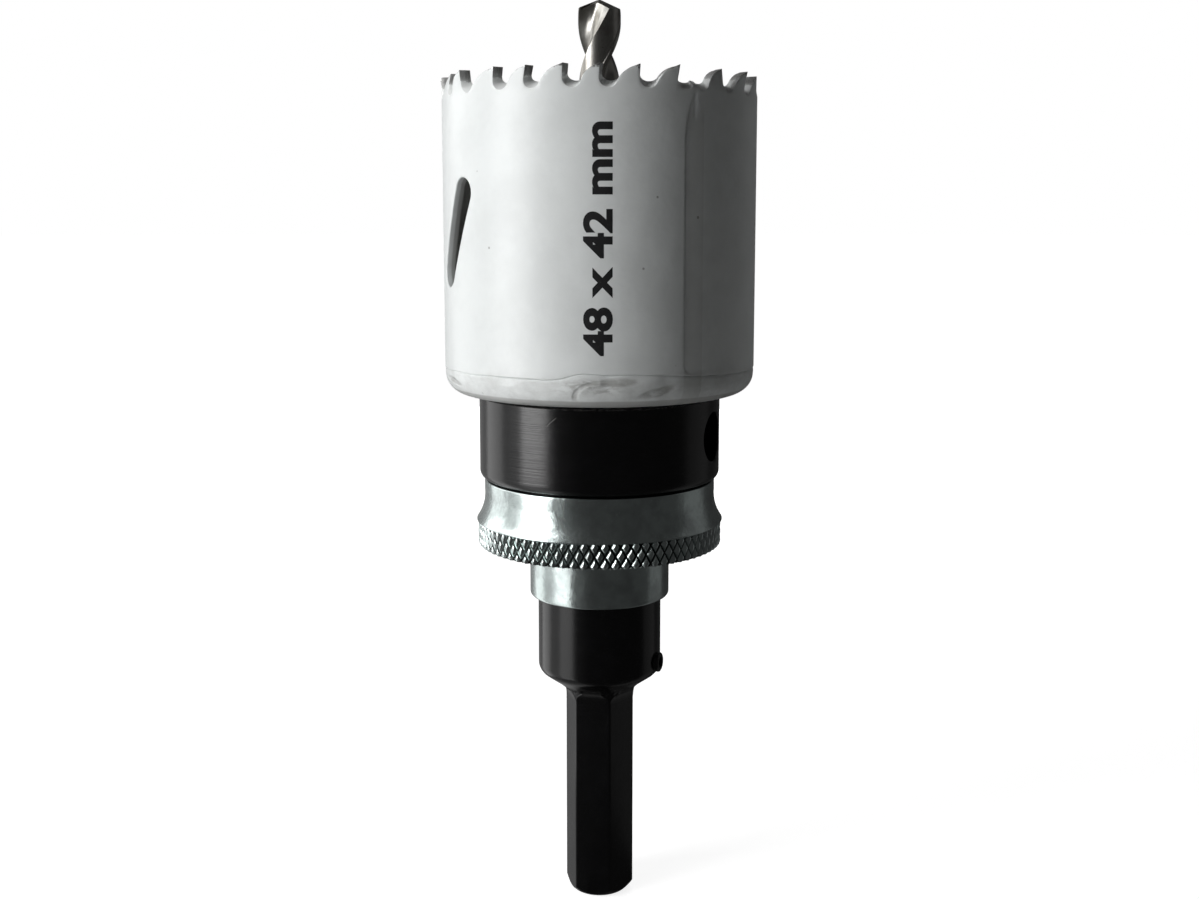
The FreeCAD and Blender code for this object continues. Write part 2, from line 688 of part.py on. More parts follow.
def oblong(width, length, centre_height, tilt):
    """A round-ended outline in the front plane, tilted with its top to the right."""
    half = (length - width) / 2
    radius = width / 2
    end = half + radius
    corners = ((radius, -half), (radius, half), (0, end), (-radius, half), (-radius, -half), (0, -end))
    points = [FreeCAD.Vector(across, 0, along) for across, along in corners]
    wire = Part.Wire([
        Part.LineSegment(points[0], points[1]).toShape(),
        Part.Arc(points[1], points[2], points[3]).toShape(),
        Part.LineSegment(points[3], points[4]).toShape(),
        Part.Arc(points[4], points[5], points[0]).toShape(),
    ])
    wire.rotate(FreeCAD.Vector(0, 0, 0), FreeCAD.Vector(0, 1, 0), tilt)
    wire.translate(FreeCAD.Vector(0, 0, centre_height))
    return wire


def tooth_azimuths():
    """The azimuth of each tooth's tip, and the gap to the tooth on its left in degrees."""
    count = int(size("tooth_count"))
    shares = [PITCH_PATTERN[index % len(PITCH_PATTERN)] for index in range(count)]
    step = (360.0 - size("seam_gap_angle")) / sum(shares)
    azimuth = size("first_tooth_azimuth")
    teeth = []
    for index, share in enumerate(shares):
        gap = share * step
        if index == count - 1:
            gap += size("seam_gap_angle")
        teeth.append((azimuth, gap))
        azimuth -= gap
    return teeth


def tooth_wire(gap, foot):
    """The outline of one tooth, with its cutting face on the right and half a gullet each side."""
    height = size("tooth_height")
    radius = size("gullet_radius")
    land = size("tooth_land")
    floor = level("gullet_line")
    hook = (height - radius) * math.tan(math.radians(size("tooth_rake")))
    gullet = radius - hook
    slant = math.radians(size("gullet_slant"))

    def point(across, above):
        return FreeCAD.Vector(across, 0, floor + above)

    face_foot = point(-hook, radius)
    face_bend = point(-hook + radius * (1 - math.cos(slant)), radius * (1 - math.sin(slant)))
    right_floor = point(gullet, 0)
    tip = point(0, height)
    heel = point(-land, height - land * math.tan(math.radians(size("tooth_relief"))))
    left_floor = point(gullet - gap, 0)
    left_bend = point(gullet - gap + radius * math.sin(slant / 2), radius * (1 - math.cos(slant / 2)))
    back_foot = point(gullet - gap + radius * math.sin(slant), radius * (1 - math.cos(slant)))
    chord = heel - back_foot
    outwards = FreeCAD.Vector(-chord.z, 0, chord.x).normalize()
    back_middle = (heel + back_foot) * 0.5 + outwards * size("tooth_back_bulge")
    return Part.Wire([
        Part.Arc(right_floor, face_bend, face_foot).toShape(),
        Part.LineSegment(face_foot, tip).toShape(),
        Part.LineSegment(tip, heel).toShape(),
        Part.Arc(heel, back_middle, back_foot).toShape(),
        Part.Arc(back_foot, left_bend, left_floor).toShape(),
        Part.LineSegment(left_floor, point(gullet - gap, -foot)).toShape(),
        Part.LineSegment(point(gullet - gap, -foot), point(gullet, -foot)).toShape(),
        Part.LineSegment(point(gullet, -foot), right_floor).toShape(),
    ])


def make_saw_shell():
    """Rolled and welded strip with set teeth, two slanted slots and the seam.

    The teeth stand at uneven angles and lean in turn, so the strip is built tooth by tooth.
    """
    outer = size("saw_diameter") / 2
    inner = outer - size("saw_wall")
    bottom = level("shell_bottom")
    floor = level("gullet_line")
    top = level("saw_top")
    lean = size("tooth_set")
    reach = outer + size("saw_wall") + lean
    foot = size("gullet_radius") / 2
    root = floor - foot
    bend = floor + size("tooth_bend_height")
    shell = ring_between(inner, outer, bottom, root)
    crowns = {}
    for way in SET_PATTERN:
        crowns[way] = ring_between(inner, outer, bend, top, inner + way * lean, outer + way * lean)
    collar = ring_between(inner, outer, root, bend)
    teeth = []
    for index, (azimuth, gap) in enumerate(tooth_azimuths()):
        width = math.radians(gap) * outer
        prism = facing(front_prism(tooth_wire(width, foot), reach), azimuth)
        leaning = crowns[SET_PATTERN[index % len(SET_PATTERN)]].fuse(collar)
        teeth.append(leaning.common(prism))
    shell = shell.fuse(teeth)
    seam_middle = bottom + size("seam_foot") + size("seam_height") / 2
    seam_shape = oblong(size("seam_width"), size("seam_height"), seam_middle, 0)
    band = ring_between(outer - size("seam_stand_out"), outer + size("seam_stand_out"), bottom, floor)
    seam = facing(front_prism(seam_shape, reach), size("seam_azimuth"))
    shell = shell.fuse(band.common(seam))
    for index in range(int(size("slot_count"))):
        outline = oblong(size("slot_width"), size("slot_length"), level("saw_seat") + size("slot_height"),
                         size("slot_tilt"))
        azimuth = size("slot_azimuth") + index * 360.0 / size("slot_count")
        shell = shell.cut(facing(front_prism(outline, reach), azimuth))
    feature = doc.addObject("Part::Feature", "saw_shell_body")
    feature.Label = "saw_shell"
    feature.Shape = shell.removeSplitter()
    feature.Placement = FreeCAD.Placement()
    PIECES["saw_shell"] = feature


SUB_PARTS = (
    make_arbor_body, make_pilot_drill, make_drill_screw, make_saw_end_plate, make_saw_shell,
    make_drive_plate, make_drive_pins, make_release_sleeve, make_rings, make_sleeve_spring,
)
for make in SUB_PARTS:
    make()
doc.recompute()

# Nothing is written unless every object and every sub-part is sound.
for item in doc.Objects:
    if {"Invalid", "Error"} & set(item.State):
        raise RuntimeError(f"{item.Name} failed: {item.State}")
for label, piece in PIECES.items():
    if piece.Shape.isNull() or not piece.Shape.isValid() or len(piece.Shape.Solids) != 1:
        raise RuntimeError(f"{label}: not one sound solid")
for label, piece in PIECES.items():
    piece.Shape.exportStep(f"{PARTS}/{label}.step")
    print(label, round(piece.Shape.Volume, 1))
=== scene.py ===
"""Hole saw arbor with its saw and pilot drill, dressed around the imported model.

Sizes are written in millimetres and become metres when a mesh is made. The axis of rotation is Z,
and azimuths are in degrees from the front (-Y) towards +X.
"""
import itertools
import json
import logging
import math
from collections.abc import Callable, Sequence
from dataclasses import dataclass, field
from enum import Enum

import bmesh
import bpy
import numpy as np
from mathutils import Matrix, Vector
from mathutils.geometry import delaunay_2d_cdt

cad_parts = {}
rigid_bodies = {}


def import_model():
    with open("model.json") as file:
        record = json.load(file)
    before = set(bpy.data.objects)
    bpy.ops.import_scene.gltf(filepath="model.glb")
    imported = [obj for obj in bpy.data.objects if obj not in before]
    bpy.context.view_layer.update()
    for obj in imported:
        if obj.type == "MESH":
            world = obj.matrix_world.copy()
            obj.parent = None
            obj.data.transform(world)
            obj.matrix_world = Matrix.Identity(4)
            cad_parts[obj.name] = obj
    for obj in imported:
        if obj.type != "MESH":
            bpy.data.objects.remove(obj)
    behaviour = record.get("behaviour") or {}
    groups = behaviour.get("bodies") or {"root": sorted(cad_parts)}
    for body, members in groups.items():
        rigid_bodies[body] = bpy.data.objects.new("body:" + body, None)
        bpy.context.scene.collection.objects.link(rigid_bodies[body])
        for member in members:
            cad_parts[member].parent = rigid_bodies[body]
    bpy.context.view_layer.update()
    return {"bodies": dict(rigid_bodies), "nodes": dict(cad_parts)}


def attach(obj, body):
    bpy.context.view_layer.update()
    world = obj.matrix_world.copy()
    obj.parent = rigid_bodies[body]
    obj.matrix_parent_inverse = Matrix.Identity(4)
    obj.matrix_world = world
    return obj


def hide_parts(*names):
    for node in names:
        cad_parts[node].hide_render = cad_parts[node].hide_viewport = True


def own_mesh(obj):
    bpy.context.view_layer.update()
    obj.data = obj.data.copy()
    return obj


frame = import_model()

METRE = 0.001
MERGE = 1.5e-6  # Points of a mesh that are nearer than this, in metres, become one.
COLLAPSE = 1e-7  # Edges of a mesh that are shorter than this, in metres, go.
LOG = logging.getLogger("hole_saw_arbor")

# Sizes in millimetres and azimuths in degrees that several parts share.
SEAT = 80.1
PIN_CIRCLE = 14.7
GUIDE_AZIMUTH = 158.8
SCREW_AZIMUTH = 69.0
RING_LOW, RING_HIGH = 64.15, 65.25

# Limits that keep outlines sound.
ROUNDING_SHARE = 0.48  # the most of a side that one rounding takes up
MITRE_LEAST = 0.45  # the cosine below which a mitre grows no longer
LATTICE_MARGIN = 0.6  # the clearance of a lattice from an edge, in spacings


class Body(Enum):
    """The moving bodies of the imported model."""

    ARBOR = "arbor"
    COLLAR = "collar"
    SLEEVE = "sleeve"


class Slot(Enum):
    """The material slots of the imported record."""

    PAINT = "white_paint"
    BARE = "bare_steel"
    DRILL = "drill_steel"
    BLACK = "blackened_steel"
    ZINC = "zinc_plate"


# Maths


def smooth(share: "np.ndarray | float | Wire") -> "np.ndarray | float | Wire":
    """A share from 0 to 1, eased at both ends."""
    return share * share * (3 - 2 * share)


def wrapped(value: np.ndarray | float, period: float = 360.0) -> np.ndarray | float:
    """A value brought to within half a period of zero."""
    return (value + period / 2) % period - period / 2


def polar(radius: np.ndarray | float, azimuth: np.ndarray | float) -> np.ndarray:
    """Points (x, y) at distances from the axis and azimuths in degrees."""
    turn = np.radians(azimuth)
    return np.stack([radius * np.sin(turn), -radius * np.cos(turn)], -1)


def scaled(colour: Sequence[float], factor: float) -> tuple:
    """A colour made lighter or darker."""
    return tuple(factor * part for part in colour)


def quarter(steps: int) -> list[tuple[float, float]]:
    """The sine, and what the cosine is short of 1, at even steps of a quarter turn."""
    turns = [step / steps * math.pi / 2 for step in range(steps + 1)]
    return [(math.sin(turn), 1 - math.cos(turn)) for turn in turns]


def spans(*ranges: tuple[float, float, float]) -> np.ndarray:
    """The values of several ranges, each with a start, an end and a step."""
    return np.concatenate([np.arange(*values) for values in ranges])


def pin_places() -> list[np.ndarray]:
    """The axes of the two drive pins, as points (x, y)."""
    return [polar(PIN_CIRCLE, GUIDE_AZIMUTH + side) for side in (0.0, 180.0)]


# Shader nodes


def add_node(tree: bpy.types.NodeTree, kind: str, settings: dict, sockets: dict,
             output: int | str = 0) -> bpy.types.NodeSocket | None:
    """Add a node to a tree.

    Args:
        tree: The tree.
        kind: The node's type.
        settings: Its properties, which are set first.
        sockets: Values or other nodes' outputs for its inputs, by name or number.
        output: The output to hand back.

    Returns:
        That output, if the node has any.
    """
    node = tree.nodes.new(kind)
    for key, value in settings.items():
        setattr(node, key, value)
    for key, value in sockets.items():
        if isinstance(value, bpy.types.NodeSocket):
            tree.links.new(value, node.inputs[key])
        else:
            node.inputs[key].default_value = value
    return node.outputs[output] if node.outputs else None


def emptied(owner: bpy.types.Material | bpy.types.World) -> bpy.types.NodeTree:
    """The node tree of a new material or world, without its nodes."""
    owner.use_nodes = True
    owner.node_tree.nodes.clear()
    return owner.node_tree


def operator(operation: str, swapped: bool = False) -> Callable[..., "Wire"]:
    """A method of Wire that lays a Math node on the wire and other values."""

    def method(wire: "Wire", *others: "Wire | float") -> "Wire":
        """Lay the node."""
        values = (*others, wire) if swapped else (wire, *others)
        return wire.recipe.node("ShaderNodeMath", {"operation": operation}, dict(enumerate(values)))

    return method


class Wire:
    """An output socket of a material, with the arithmetic that the finishes use."""

    __add__ = operator("ADD")
    __sub__ = operator("SUBTRACT")
    __rsub__ = operator("SUBTRACT", swapped=True)
    __mul__ = __rmul__ = operator("MULTIPLY")
    __pow__ = operator("POWER")
    most = operator("MAXIMUM")
    size = operator("ABSOLUTE")

    def __init__(self, recipe: "Recipe", socket: bpy.types.NodeSocket) -> None:
        """Keep the recipe and the socket."""
        self.recipe = recipe
        self.socket = socket

    def ramp(self, low: float, high: float, start: float = 0.0, end: float = 1.0) -> "Wire":
        """A smooth step.

        Args:
            low: The value at which the step starts.
            high: The value at which it is over, which may be below low.
            start: The result up to low.
            end: The result from high on.

        Returns:
            The stepped value.
        """
        if low > high:
            low, high, start, end = high, low, end, start
        return self.recipe.node(
            "ShaderNodeMapRange", {"interpolation_type": "SMOOTHSTEP", "clamp": True},
            {"Value": self, "From Min": low, "From Max": high, "To Min": start, "To Max": end})


class Recipe:
    """A material while its nodes are laid out."""

    def __init__(self, name: str) -> None:
        """Start an empty material with its Object coordinates in millimetres."""
        self.material = bpy.data.materials.new(name)
        self.tree = emptied(self.material)
        spot = self.node("ShaderNodeTexCoord", {}, {}, "Object")
        self.place = self.node("ShaderNodeVectorMath", {"operation": "SCALE"},
                               {0: spot, "Scale": 1.0 / METRE})
        self.x, self.y, self.z = [self.node("ShaderNodeSeparateXYZ", {}, {0: self.place}, axis)
                                  for axis in "XYZ"]

    def node(self, kind: str, settings: dict, sockets: dict, output: int | str = 0) -> Wire:
        """Add a node, as add_node does, with wires for its inputs."""
        sockets = {key: value.socket if isinstance(value, Wire) else value
                   for key, value in sockets.items()}
        return Wire(self, add_node(self.tree, kind, settings, sockets, output))

    def blend(self, share: Wire, first: Wire | tuple, second: Wire | tuple) -> Wire:
        """Mix two colours.

        Args:
            share: How much of the second.
            first: The colour at a share of 0.
            second: The colour at a share of 1.

        Returns:
            The mixed colour.
        """
        colours = [value if isinstance(value, Wire) else (*value, 1.0) for value in (first, second)]
        return self.node("ShaderNodeMix", {"data_type": "RGBA"},
                         {0: share, 6: colours[0], 7: colours[1]}, 2)

    def stretched(self, across: float, along: float) -> Wire:
        """Coordinates scaled by one number sideways and another along the axis."""
        return self.node("ShaderNodeVectorMath", {"operation": "MULTIPLY"},
                         {0: self.place, 1: (across, across, along)})

    def noise(self, scale: float, detail: float = 3.0, roughness: float = 0.5,
              place: Wire | None = None, warp: float = 0.0) -> Wire:
        """A noise value from 0 to 1.

        Args:
            scale: Features per millimetre, roughly.
            detail: The number of octaves.
            roughness: How much the finer octaves add.
            place: Other coordinates than the plain ones.
            warp: The distortion.

        Returns:
            The noise.
        """
        return self.node("ShaderNodeTexNoise", {"normalize": True},
                         {"Vector": place or self.place, "Scale": scale, "Detail": detail,
                          "Roughness": roughness, "Distortion": warp})

    def spots(self, scale: float) -> Wire:
        """Distance to the nearest of scattered points, in cells."""
        return self.node("ShaderNodeTexVoronoi", {"feature": "F1"},
                         {"Vector": self.place, "Scale": scale, "Randomness": 1.0}, "Distance")

    def bump(self, height: Wire, depth: float, normal: Wire | None = None) -> Wire:
        """A bumped normal.

        Args:
            height: The relief, from 0 to 1.
            depth: Its depth in millimetres.
            normal: A normal that it is laid on.

        Returns:
            The normal.
        """
        sockets = {"Strength": 1.0, "Distance": depth * METRE, "Height": height}
        if normal is not None:
            sockets["Normal"] = normal
        return self.node("ShaderNodeBump", {}, sockets)

    def azimuth(self) -> Wire:
        """The azimuth, in degrees."""
        turn = self.node("ShaderNodeMath", {"operation": "ARCTAN2"}, {0: self.x, 1: self.y * -1.0})
        return turn * math.degrees(1.0)

    def radius(self) -> Wire:
        """The distance from the axis, in millimetres."""
        return (self.x * self.x + self.y * self.y) ** 0.5

    def surface(self, **sockets: "Wire | float") -> bpy.types.Material:
        """Close the recipe with a Principled shader.

        Args:
            sockets: The shader's inputs, with underscores for spaces.

        Returns:
            The material.
        """
        named = {key.replace("_", " "): value for key, value in sockets.items()}
        shader = self.node("ShaderNodeBsdfPrincipled", {}, named)
        add_node(self.tree, "ShaderNodeOutputMaterial", {}, {"Surface": shader.socket})
        return self.material


# Finishes


@dataclass(frozen=True)
class Enamel:
    """Satin white paint on the saw, thick at the weld and worn at the teeth, with shade painted
    into its crease, seam, dips and inside.
    """

    colour: tuple = (0.74, 0.765, 0.76)
    # The dark colour of dirt specks and of the shade painted into the weld, the seam and the
    # inside.
    grime: tuple = (0.30, 0.30, 0.285)
    steel: tuple = (0.20, 0.19, 0.18)
    roughness: float = 0.36
    tooth_line: float = 124.6
    weld_line: float = 84.2
    # The radius inside which the cup's hollow is painted with shade.
    inside: float = 22.6
    seam: float = 33.7
    seam_half: float = 3.8
    # Azimuth, height, half width in degrees, half height and slope of each oval of painted shadow.
    dips: tuple = ((7.0, 83.95, 9.0, 0.8, 0.0), (20.5, 82.45, 9.0, 0.8, 0.09),
                   (-66.0, 82.6, 9.0, 0.6, -0.05), (96.0, 82.3, 12.0, 0.7, 0.04),
                   (151.0, 82.8, 9.0, 0.6, 0.0), (-137.0, 82.2, 11.0, 0.6, 0.05))
    lip: tuple = (0.0, 81.7, 8.4, 2.2, 0.0)
    speck_size: tuple = (0.05, 0.035)

    @staticmethod
    def oval(recipe: Recipe, place: tuple) -> Wire:
        """Squared distance from the middle of an oval on the wall, 1 on its outline."""
        azimuth, height, wide, high, slope = place
        along = recipe.azimuth() - azimuth
        up = (recipe.z - height - along * slope) * (1 / high)
        along = along * (1 / wide)
        return along * along + up * up

    def make(self) -> bpy.types.Material:
        """Lay out the material."""
        recipe = Recipe("white_enamel")
        turn, line = recipe.azimuth(), self.weld_line
        broad = recipe.noise(0.12, 5.0, 0.62)
        # Painted shade, broken up by noise, gathers in the crease above the weld and fades upwards.
        crease = recipe.z.ramp(line + 1.6, line - 0.6)
        dusty = crease * recipe.noise(0.3, 4.0, 0.6).ramp(0.3, 0.8)
        # The strip is dressed smooth at the seam, where its sunk patch is painted darker as shade,
        # and lies over itself at the weld's front.
        seam = (turn - self.seam).size().ramp(self.seam_half + 0.25, self.seam_half - 0.25)
        seam = seam * recipe.z.ramp(122.0, 119.0)
        lap = (turn + 3.0).size().ramp(16.0, 3.0) * (recipe.z - 83.3).size().ramp(1.5, 0.4)
        smudge = recipe.noise(0.55, 5.0, 0.65, recipe.stretched(0.8, 1.6), 1.2).ramp(0.38, 0.66)
        # The inside of the cup is painted darker, as the shade in its hollow.
        inside = recipe.radius().ramp(self.inside + 0.25, self.inside)
        # Soft dips and the end of the bead are painted in as shadows on the weld, and are also
        # dented by the bump.
        grit = recipe.noise(0.9, 5.0, 0.7, recipe.stretched(0.7, 1.4))
        dips = self.oval(recipe, self.dips[0]).ramp(1.0, 0.0)
        for place in self.dips[1:]:
            dips = dips.most(self.oval(recipe, place).ramp(1.0, 0.0))
        lip = smooth((self.oval(recipe, self.lip) - 1.0).size().ramp(0.4, 0.0))
        lip = lip * (turn - self.lip[0]).ramp(1.5, -1.5) * recipe.z.ramp(81.0, 82.0)
        marks = smooth(dips).most(lip * 0.7)
        band = recipe.z.ramp(line + 0.1, line - 0.5) * recipe.z.ramp(80.0, 80.9)
        specks = recipe.spots(0.2).ramp(*self.speck_size) * recipe.noise(0.05, 1.0).ramp(0.5, 0.56)
        colour = recipe.blend(broad.ramp(0.35, 0.68), self.colour, scaled(self.colour, 0.93))
        # Specks and the weld band are dirt; the crease, the seam, the cup's inside and the dips are
        # painted shade; the lap is blotched darker.
        for grimy in (dusty * 0.24, seam * 0.24, lap * smudge * 0.7, inside * 0.62,
                      marks * grit.ramp(0.2, 0.62) * 0.62, band * grit.ramp(0.3, 0.75) * 0.2,
                      specks * 0.8):
            colour = recipe.blend(grimy, colour, self.grime)
        # The tips are rubbed down to the steel.
        chips = recipe.noise(1.6, 4.0, 0.65)
        rubbed = (recipe.z + chips * 2.2).ramp(self.tooth_line + 2.6, self.tooth_line + 3.2)
        colour = recipe.blend(rubbed, colour, self.steel)
        rough = (broad - 0.5) * 0.12 + self.roughness + rubbed * 0.05
        peel = recipe.bump(recipe.noise(1.3, 2.0, 0.5), 0.016)
        runs = recipe.bump(recipe.noise(0.22, 2.0, 0.5), 0.08, peel)
        # The weld below the crease is smeared: broad lumps drawn out along it.
        below = recipe.z.ramp(line + 1.2, line - 0.6)
        smear = recipe.noise(0.24, 3.0, 0.45, recipe.stretched(0.6, 1.4), 0.6)
        runs = recipe.bump(smear * below * (lap * 0.4 + 0.4), 0.6, runs)
        runs = recipe.bump(marks * -1.0, 0.13, recipe.bump(grit * below, 0.05, runs))
        return recipe.surface(Base_Color=colour, Roughness=rough, Metallic=rubbed * 0.9,
                              Normal=runs, IOR=1.5)


@dataclass(frozen=True)
class CutEdge:
    """Milled faces of the teeth: bare steel above, overspray in the gullets painted lighter than
    the enamel, as light on them.
    """

    steel: tuple = (0.40, 0.40, 0.395)
    # Lighter than the enamel itself: painted light on the shaded gullets.
    paint: tuple = (0.88, 0.90, 0.89)
    border: tuple = (0.12, 0.12, 0.115)
    bare_from: float = 125.75
    bare_below: float = 124.95

    def make(self) -> bpy.types.Material:
        """Lay out the material."""
        recipe = Recipe("cut_edge")
        patchy = recipe.noise(1.1, 4.0, 0.6)
        bare = (recipe.z + (patchy - 0.5) * 1.6).ramp(self.bare_below, self.bare_from)
        lines = recipe.noise(5.0, 2.0, 0.5, recipe.stretched(1.0, 0.12))
        steel = recipe.blend(lines.ramp(0.3, 0.7), self.steel, scaled(self.steel, 0.62))
        edge = (bare - 0.5).size().ramp(0.42, 0.2) * 0.3
        colour = recipe.blend(edge, recipe.blend(bare, self.paint, steel), self.border)
        return recipe.surface(Base_Color=colour, Roughness=bare.ramp(0.0, 1.0, 0.42, 0.4),
                              Metallic=bare * 0.3, Normal=recipe.bump(lines, 0.01))


@dataclass(frozen=True)
class Ink:
    """Black print, with pinholes where the paint's grain shows through."""

    colour: tuple = (0.012, 0.012, 0.013)
    worn: tuple = (0.10, 0.10, 0.10)

    def make(self) -> bpy.types.Material:
        """Lay out the material."""
        recipe = Recipe("print_ink")
        grain = recipe.noise(3.2, 4.0, 0.7)
        colour = recipe.blend(grain.ramp(0.6, 0.78), self.colour, self.worn)
        return recipe.surface(Base_Color=colour, Roughness=grain.ramp(0.3, 0.7, 0.36, 0.5),
                              Normal=recipe.bump(grain, 0.006))


@dataclass(frozen=True)
class BlackSteel:
    """Oiled black oxide on turned steel, with its cutting marks and rubbed edges."""

    name: str
    colour: tuple = (0.0014, 0.0014, 0.0016)
    rubbed: tuple = (0.09, 0.088, 0.085)
    roughness: float = 0.2
    worn_heights: tuple = ()
    mark_depth: float = 0.009
    # Azimuth, height, slope in mm per degree, half length in degrees and half width.
    scratch: tuple = ()

    def make(self) -> bpy.types.Material:
        """Lay out the material."""
        recipe = Recipe(self.name)
        marks = recipe.noise(1.0, 3.0, 0.6, recipe.stretched(0.06, 6.5))
        cloud = recipe.noise(0.35, 4.0, 0.6)
        colour = recipe.blend(cloud.ramp(0.4, 0.75), self.colour, scaled(self.colour, 1.9))
        wear = cloud.ramp(0.72, 0.8) * 0.15
        patchy = recipe.noise(1.7, 4.0, 0.7).ramp(0.38, 0.66)
        for height in self.worn_heights:
            near = (recipe.z - height).size().ramp(0.16, 0.03)
            wear = wear.most(near * patchy * 0.7)
        if self.scratch:
            azimuth, height, slope, half, width = self.scratch
            along = recipe.azimuth() - azimuth
            across = (recipe.z - height - along * slope).size().ramp(width, width * 0.3)
            wear = wear.most(across * along.size().ramp(half, half * 0.7)
                             * recipe.noise(2.5, 3.0).ramp(0.3, 0.5))
        rough = (marks - 0.5) * 0.16 + self.roughness + wear * 0.1
        normal = recipe.bump(marks, self.mark_depth, recipe.bump(cloud, 0.02))
        return recipe.surface(Base_Color=recipe.blend(wear, colour, self.rubbed), Roughness=rough,
                              Metallic=wear * 0.8, Normal=normal, IOR=1.45)


@dataclass(frozen=True)
class ZincPlate:
    """Bright zinc plating over a turned and lightly pickled surface."""

    name: str = "zinc_plate"
    colour: tuple = (0.60, 0.675, 0.66)
    dull: tuple = (0.43, 0.475, 0.47)
    roughness: float = 0.22
    # Radii between which the grooves of a knurl turn from painted shade to plain plating.
    grooves: tuple = ()
    dirt: tuple = (0.05, 0.055, 0.05)

    def make(self) -> bpy.types.Material:
        """Lay out the material."""
        recipe = Recipe(self.name)
        cloud = recipe.noise(0.3, 4.0, 0.6)
        grain = recipe.noise(2.4, 4.0, 0.65)
        turning = recipe.noise(1.0, 2.0, 0.5, recipe.stretched(0.1, 5.0))
        colour = recipe.blend(cloud.ramp(0.35, 0.7), self.colour, self.dull)
        rough = (cloud - 0.5) * 0.16 + self.roughness + (grain - 0.5) * 0.1
        if self.grooves:
            # Painted shade darkens the grooves between the lozenges.
            clean, dirty = self.grooves[::-1]
            colour = recipe.blend(recipe.radius().ramp(clean, dirty), colour, self.dirt)
        smudge = recipe.noise(0.16, 3.0, 0.55, warp=0.6)
        normal = recipe.bump(turning, 0.004, recipe.bump(grain, 0.014, recipe.bump(smudge, 0.12)))
        return recipe.surface(Base_Color=colour, Roughness=rough, Metallic=1.0, Normal=normal)


@dataclass(frozen=True)
class GroundSteel:
    """Hardened steel with its grinding marks and cloudy stains."""

    name: str
    colour: tuple
    stain: tuple
    roughness: float
    marks: tuple
    clouds: tuple
    stained: tuple
    uneven: tuple
    depth: float

    def make(self) -> bpy.types.Material:
        """Lay out the material."""
        recipe = Recipe(self.name)
        marks = recipe.noise(1.0, 3.0, 0.6, recipe.stretched(*self.marks))
        clouds = recipe.noise(*self.clouds)
        colour = recipe.blend(clouds.ramp(*self.stained), self.colour, self.stain)
        rough = (marks - 0.5) * self.uneven[0] + self.roughness + (clouds - 0.5) * self.uneven[1]
        return recipe.surface(Base_Color=colour, Roughness=rough, Metallic=1.0,
                              Normal=recipe.bump(marks, self.depth))


DRILL_STEEL = GroundSteel("drill_steel", (0.37, 0.362, 0.34), (0.27, 0.258, 0.235), 0.32,
                          marks=(0.5, 7.0), clouds=(0.28, 4.0, 0.65), stained=(0.42, 0.66),
                          uneven=(0.12, 0.1), depth=0.005)
BARE_STEEL = GroundSteel("bare_steel", (0.42, 0.415, 0.41), (0.294, 0.2905, 0.287), 0.26,
                         marks=(0.8, 6.0), clouds=(0.5, 3.0, 0.6), stained=(0.4, 0.7),
                         uneven=(0.14, 0.0), depth=0.004)


# Outlines


def around(count: int) -> np.ndarray:
    """Even azimuths once round, in degrees."""
    return np.arange(count) * 360.0 / count - 180.0


def waves(azimuth: np.ndarray, seed: int, terms: Sequence[int]) -> np.ndarray:
    """A smooth uneven line round the axis.

    Args:
        azimuth: Azimuths in degrees.
        seed: Fixes the phases.
        terms: The numbers of waves that are added up.

    Returns:
        Values of about -1 to 1.
    """
    rng = np.random.default_rng(seed)
    total = np.zeros_like(azimuth, dtype=float)
    for term in terms:
        phase = rng.uniform(0.0, math.tau)
        total += np.sin(np.radians(azimuth) * term + phase) * rng.uniform(0.6, 1.0)
    return total / max(len(terms) * 0.7, 1.0)


def swept(first: np.ndarray, last: np.ndarray, centre: np.ndarray, steps: int) -> list[np.ndarray]:
    """Points of an arc about a centre, from one spoke to another and with both ends."""
    cosine = first @ last / (np.linalg.norm(first) * np.linalg.norm(last))
    swing = math.acos(float(np.clip(cosine, -1.0, 1.0)))
    return [centre + (math.sin((1 - step / steps) * swing) * first
                      + math.sin(step / steps * swing) * last) / math.sin(swing)
            for step in range(steps + 1)]


def rounded(corners: Sequence[tuple[float, float, float]], closed: bool = False,
            steps: int = 4, hold: float = 0.16) -> np.ndarray:
    """An outline whose corners are rounded.

    Args:
        corners: Radius, height and rounding of each corner.
        closed: Whether the last corner joins the first.
        steps: Faces per rounding.
        hold: Distance beyond a rounding where an extra point keeps the flat side flat.

    Returns:
        The outline's points, each a radius and a height.
    """
    points = [np.array(corner[:2], float) for corner in corners]
    count = len(points)
    outline: list[np.ndarray] = []
    for index, (point, (*_, fillet)) in enumerate(zip(points, corners)):
        if fillet <= 0.0 or (not closed and index in (0, count - 1)):
            outline.append(point)
            continue
        before = points[index - 1] - point
        after = points[(index + 1) % count] - point
        reach = ROUNDING_SHARE * min(np.linalg.norm(before), np.linalg.norm(after))
        before /= np.linalg.norm(before)
        after /= np.linalg.norm(after)
        half = math.acos(float(np.clip(before @ after, -1.0, 1.0))) / 2
        length = min(fillet / math.tan(half), reach)
        middle = (before + after) / np.linalg.norm(before + after)
        centre = point + middle * (length / math.cos(half))
        spokes = [point + side * length - centre for side in (before, after)]
        arc = swept(*spokes, centre, steps)
        if length + hold < reach:
            arc = [point + before * (length + hold), *arc, point + after * (length + hold)]
        outline += arc
    return np.array(outline)


def circle(radius: float, count: int, centre: Sequence[float] = (0.0, 0.0)) -> np.ndarray:
    """A closed loop of points on a circle."""
    turn = np.arange(count) * math.tau / count
    return np.stack([centre[0] + radius * np.cos(turn), centre[1] + radius * np.sin(turn)], 1)


def raised(loop: np.ndarray, height: float) -> np.ndarray:
    """A loop of (x, y) points at a height."""
    return np.column_stack([loop, np.full(len(loop), height)])


def crossed(across: np.ndarray, up: np.ndarray) -> np.ndarray:
    """All the points of a lattice, given its columns and its rows."""
    return np.stack(np.meshgrid(across, up), -1).reshape(-1, 2)


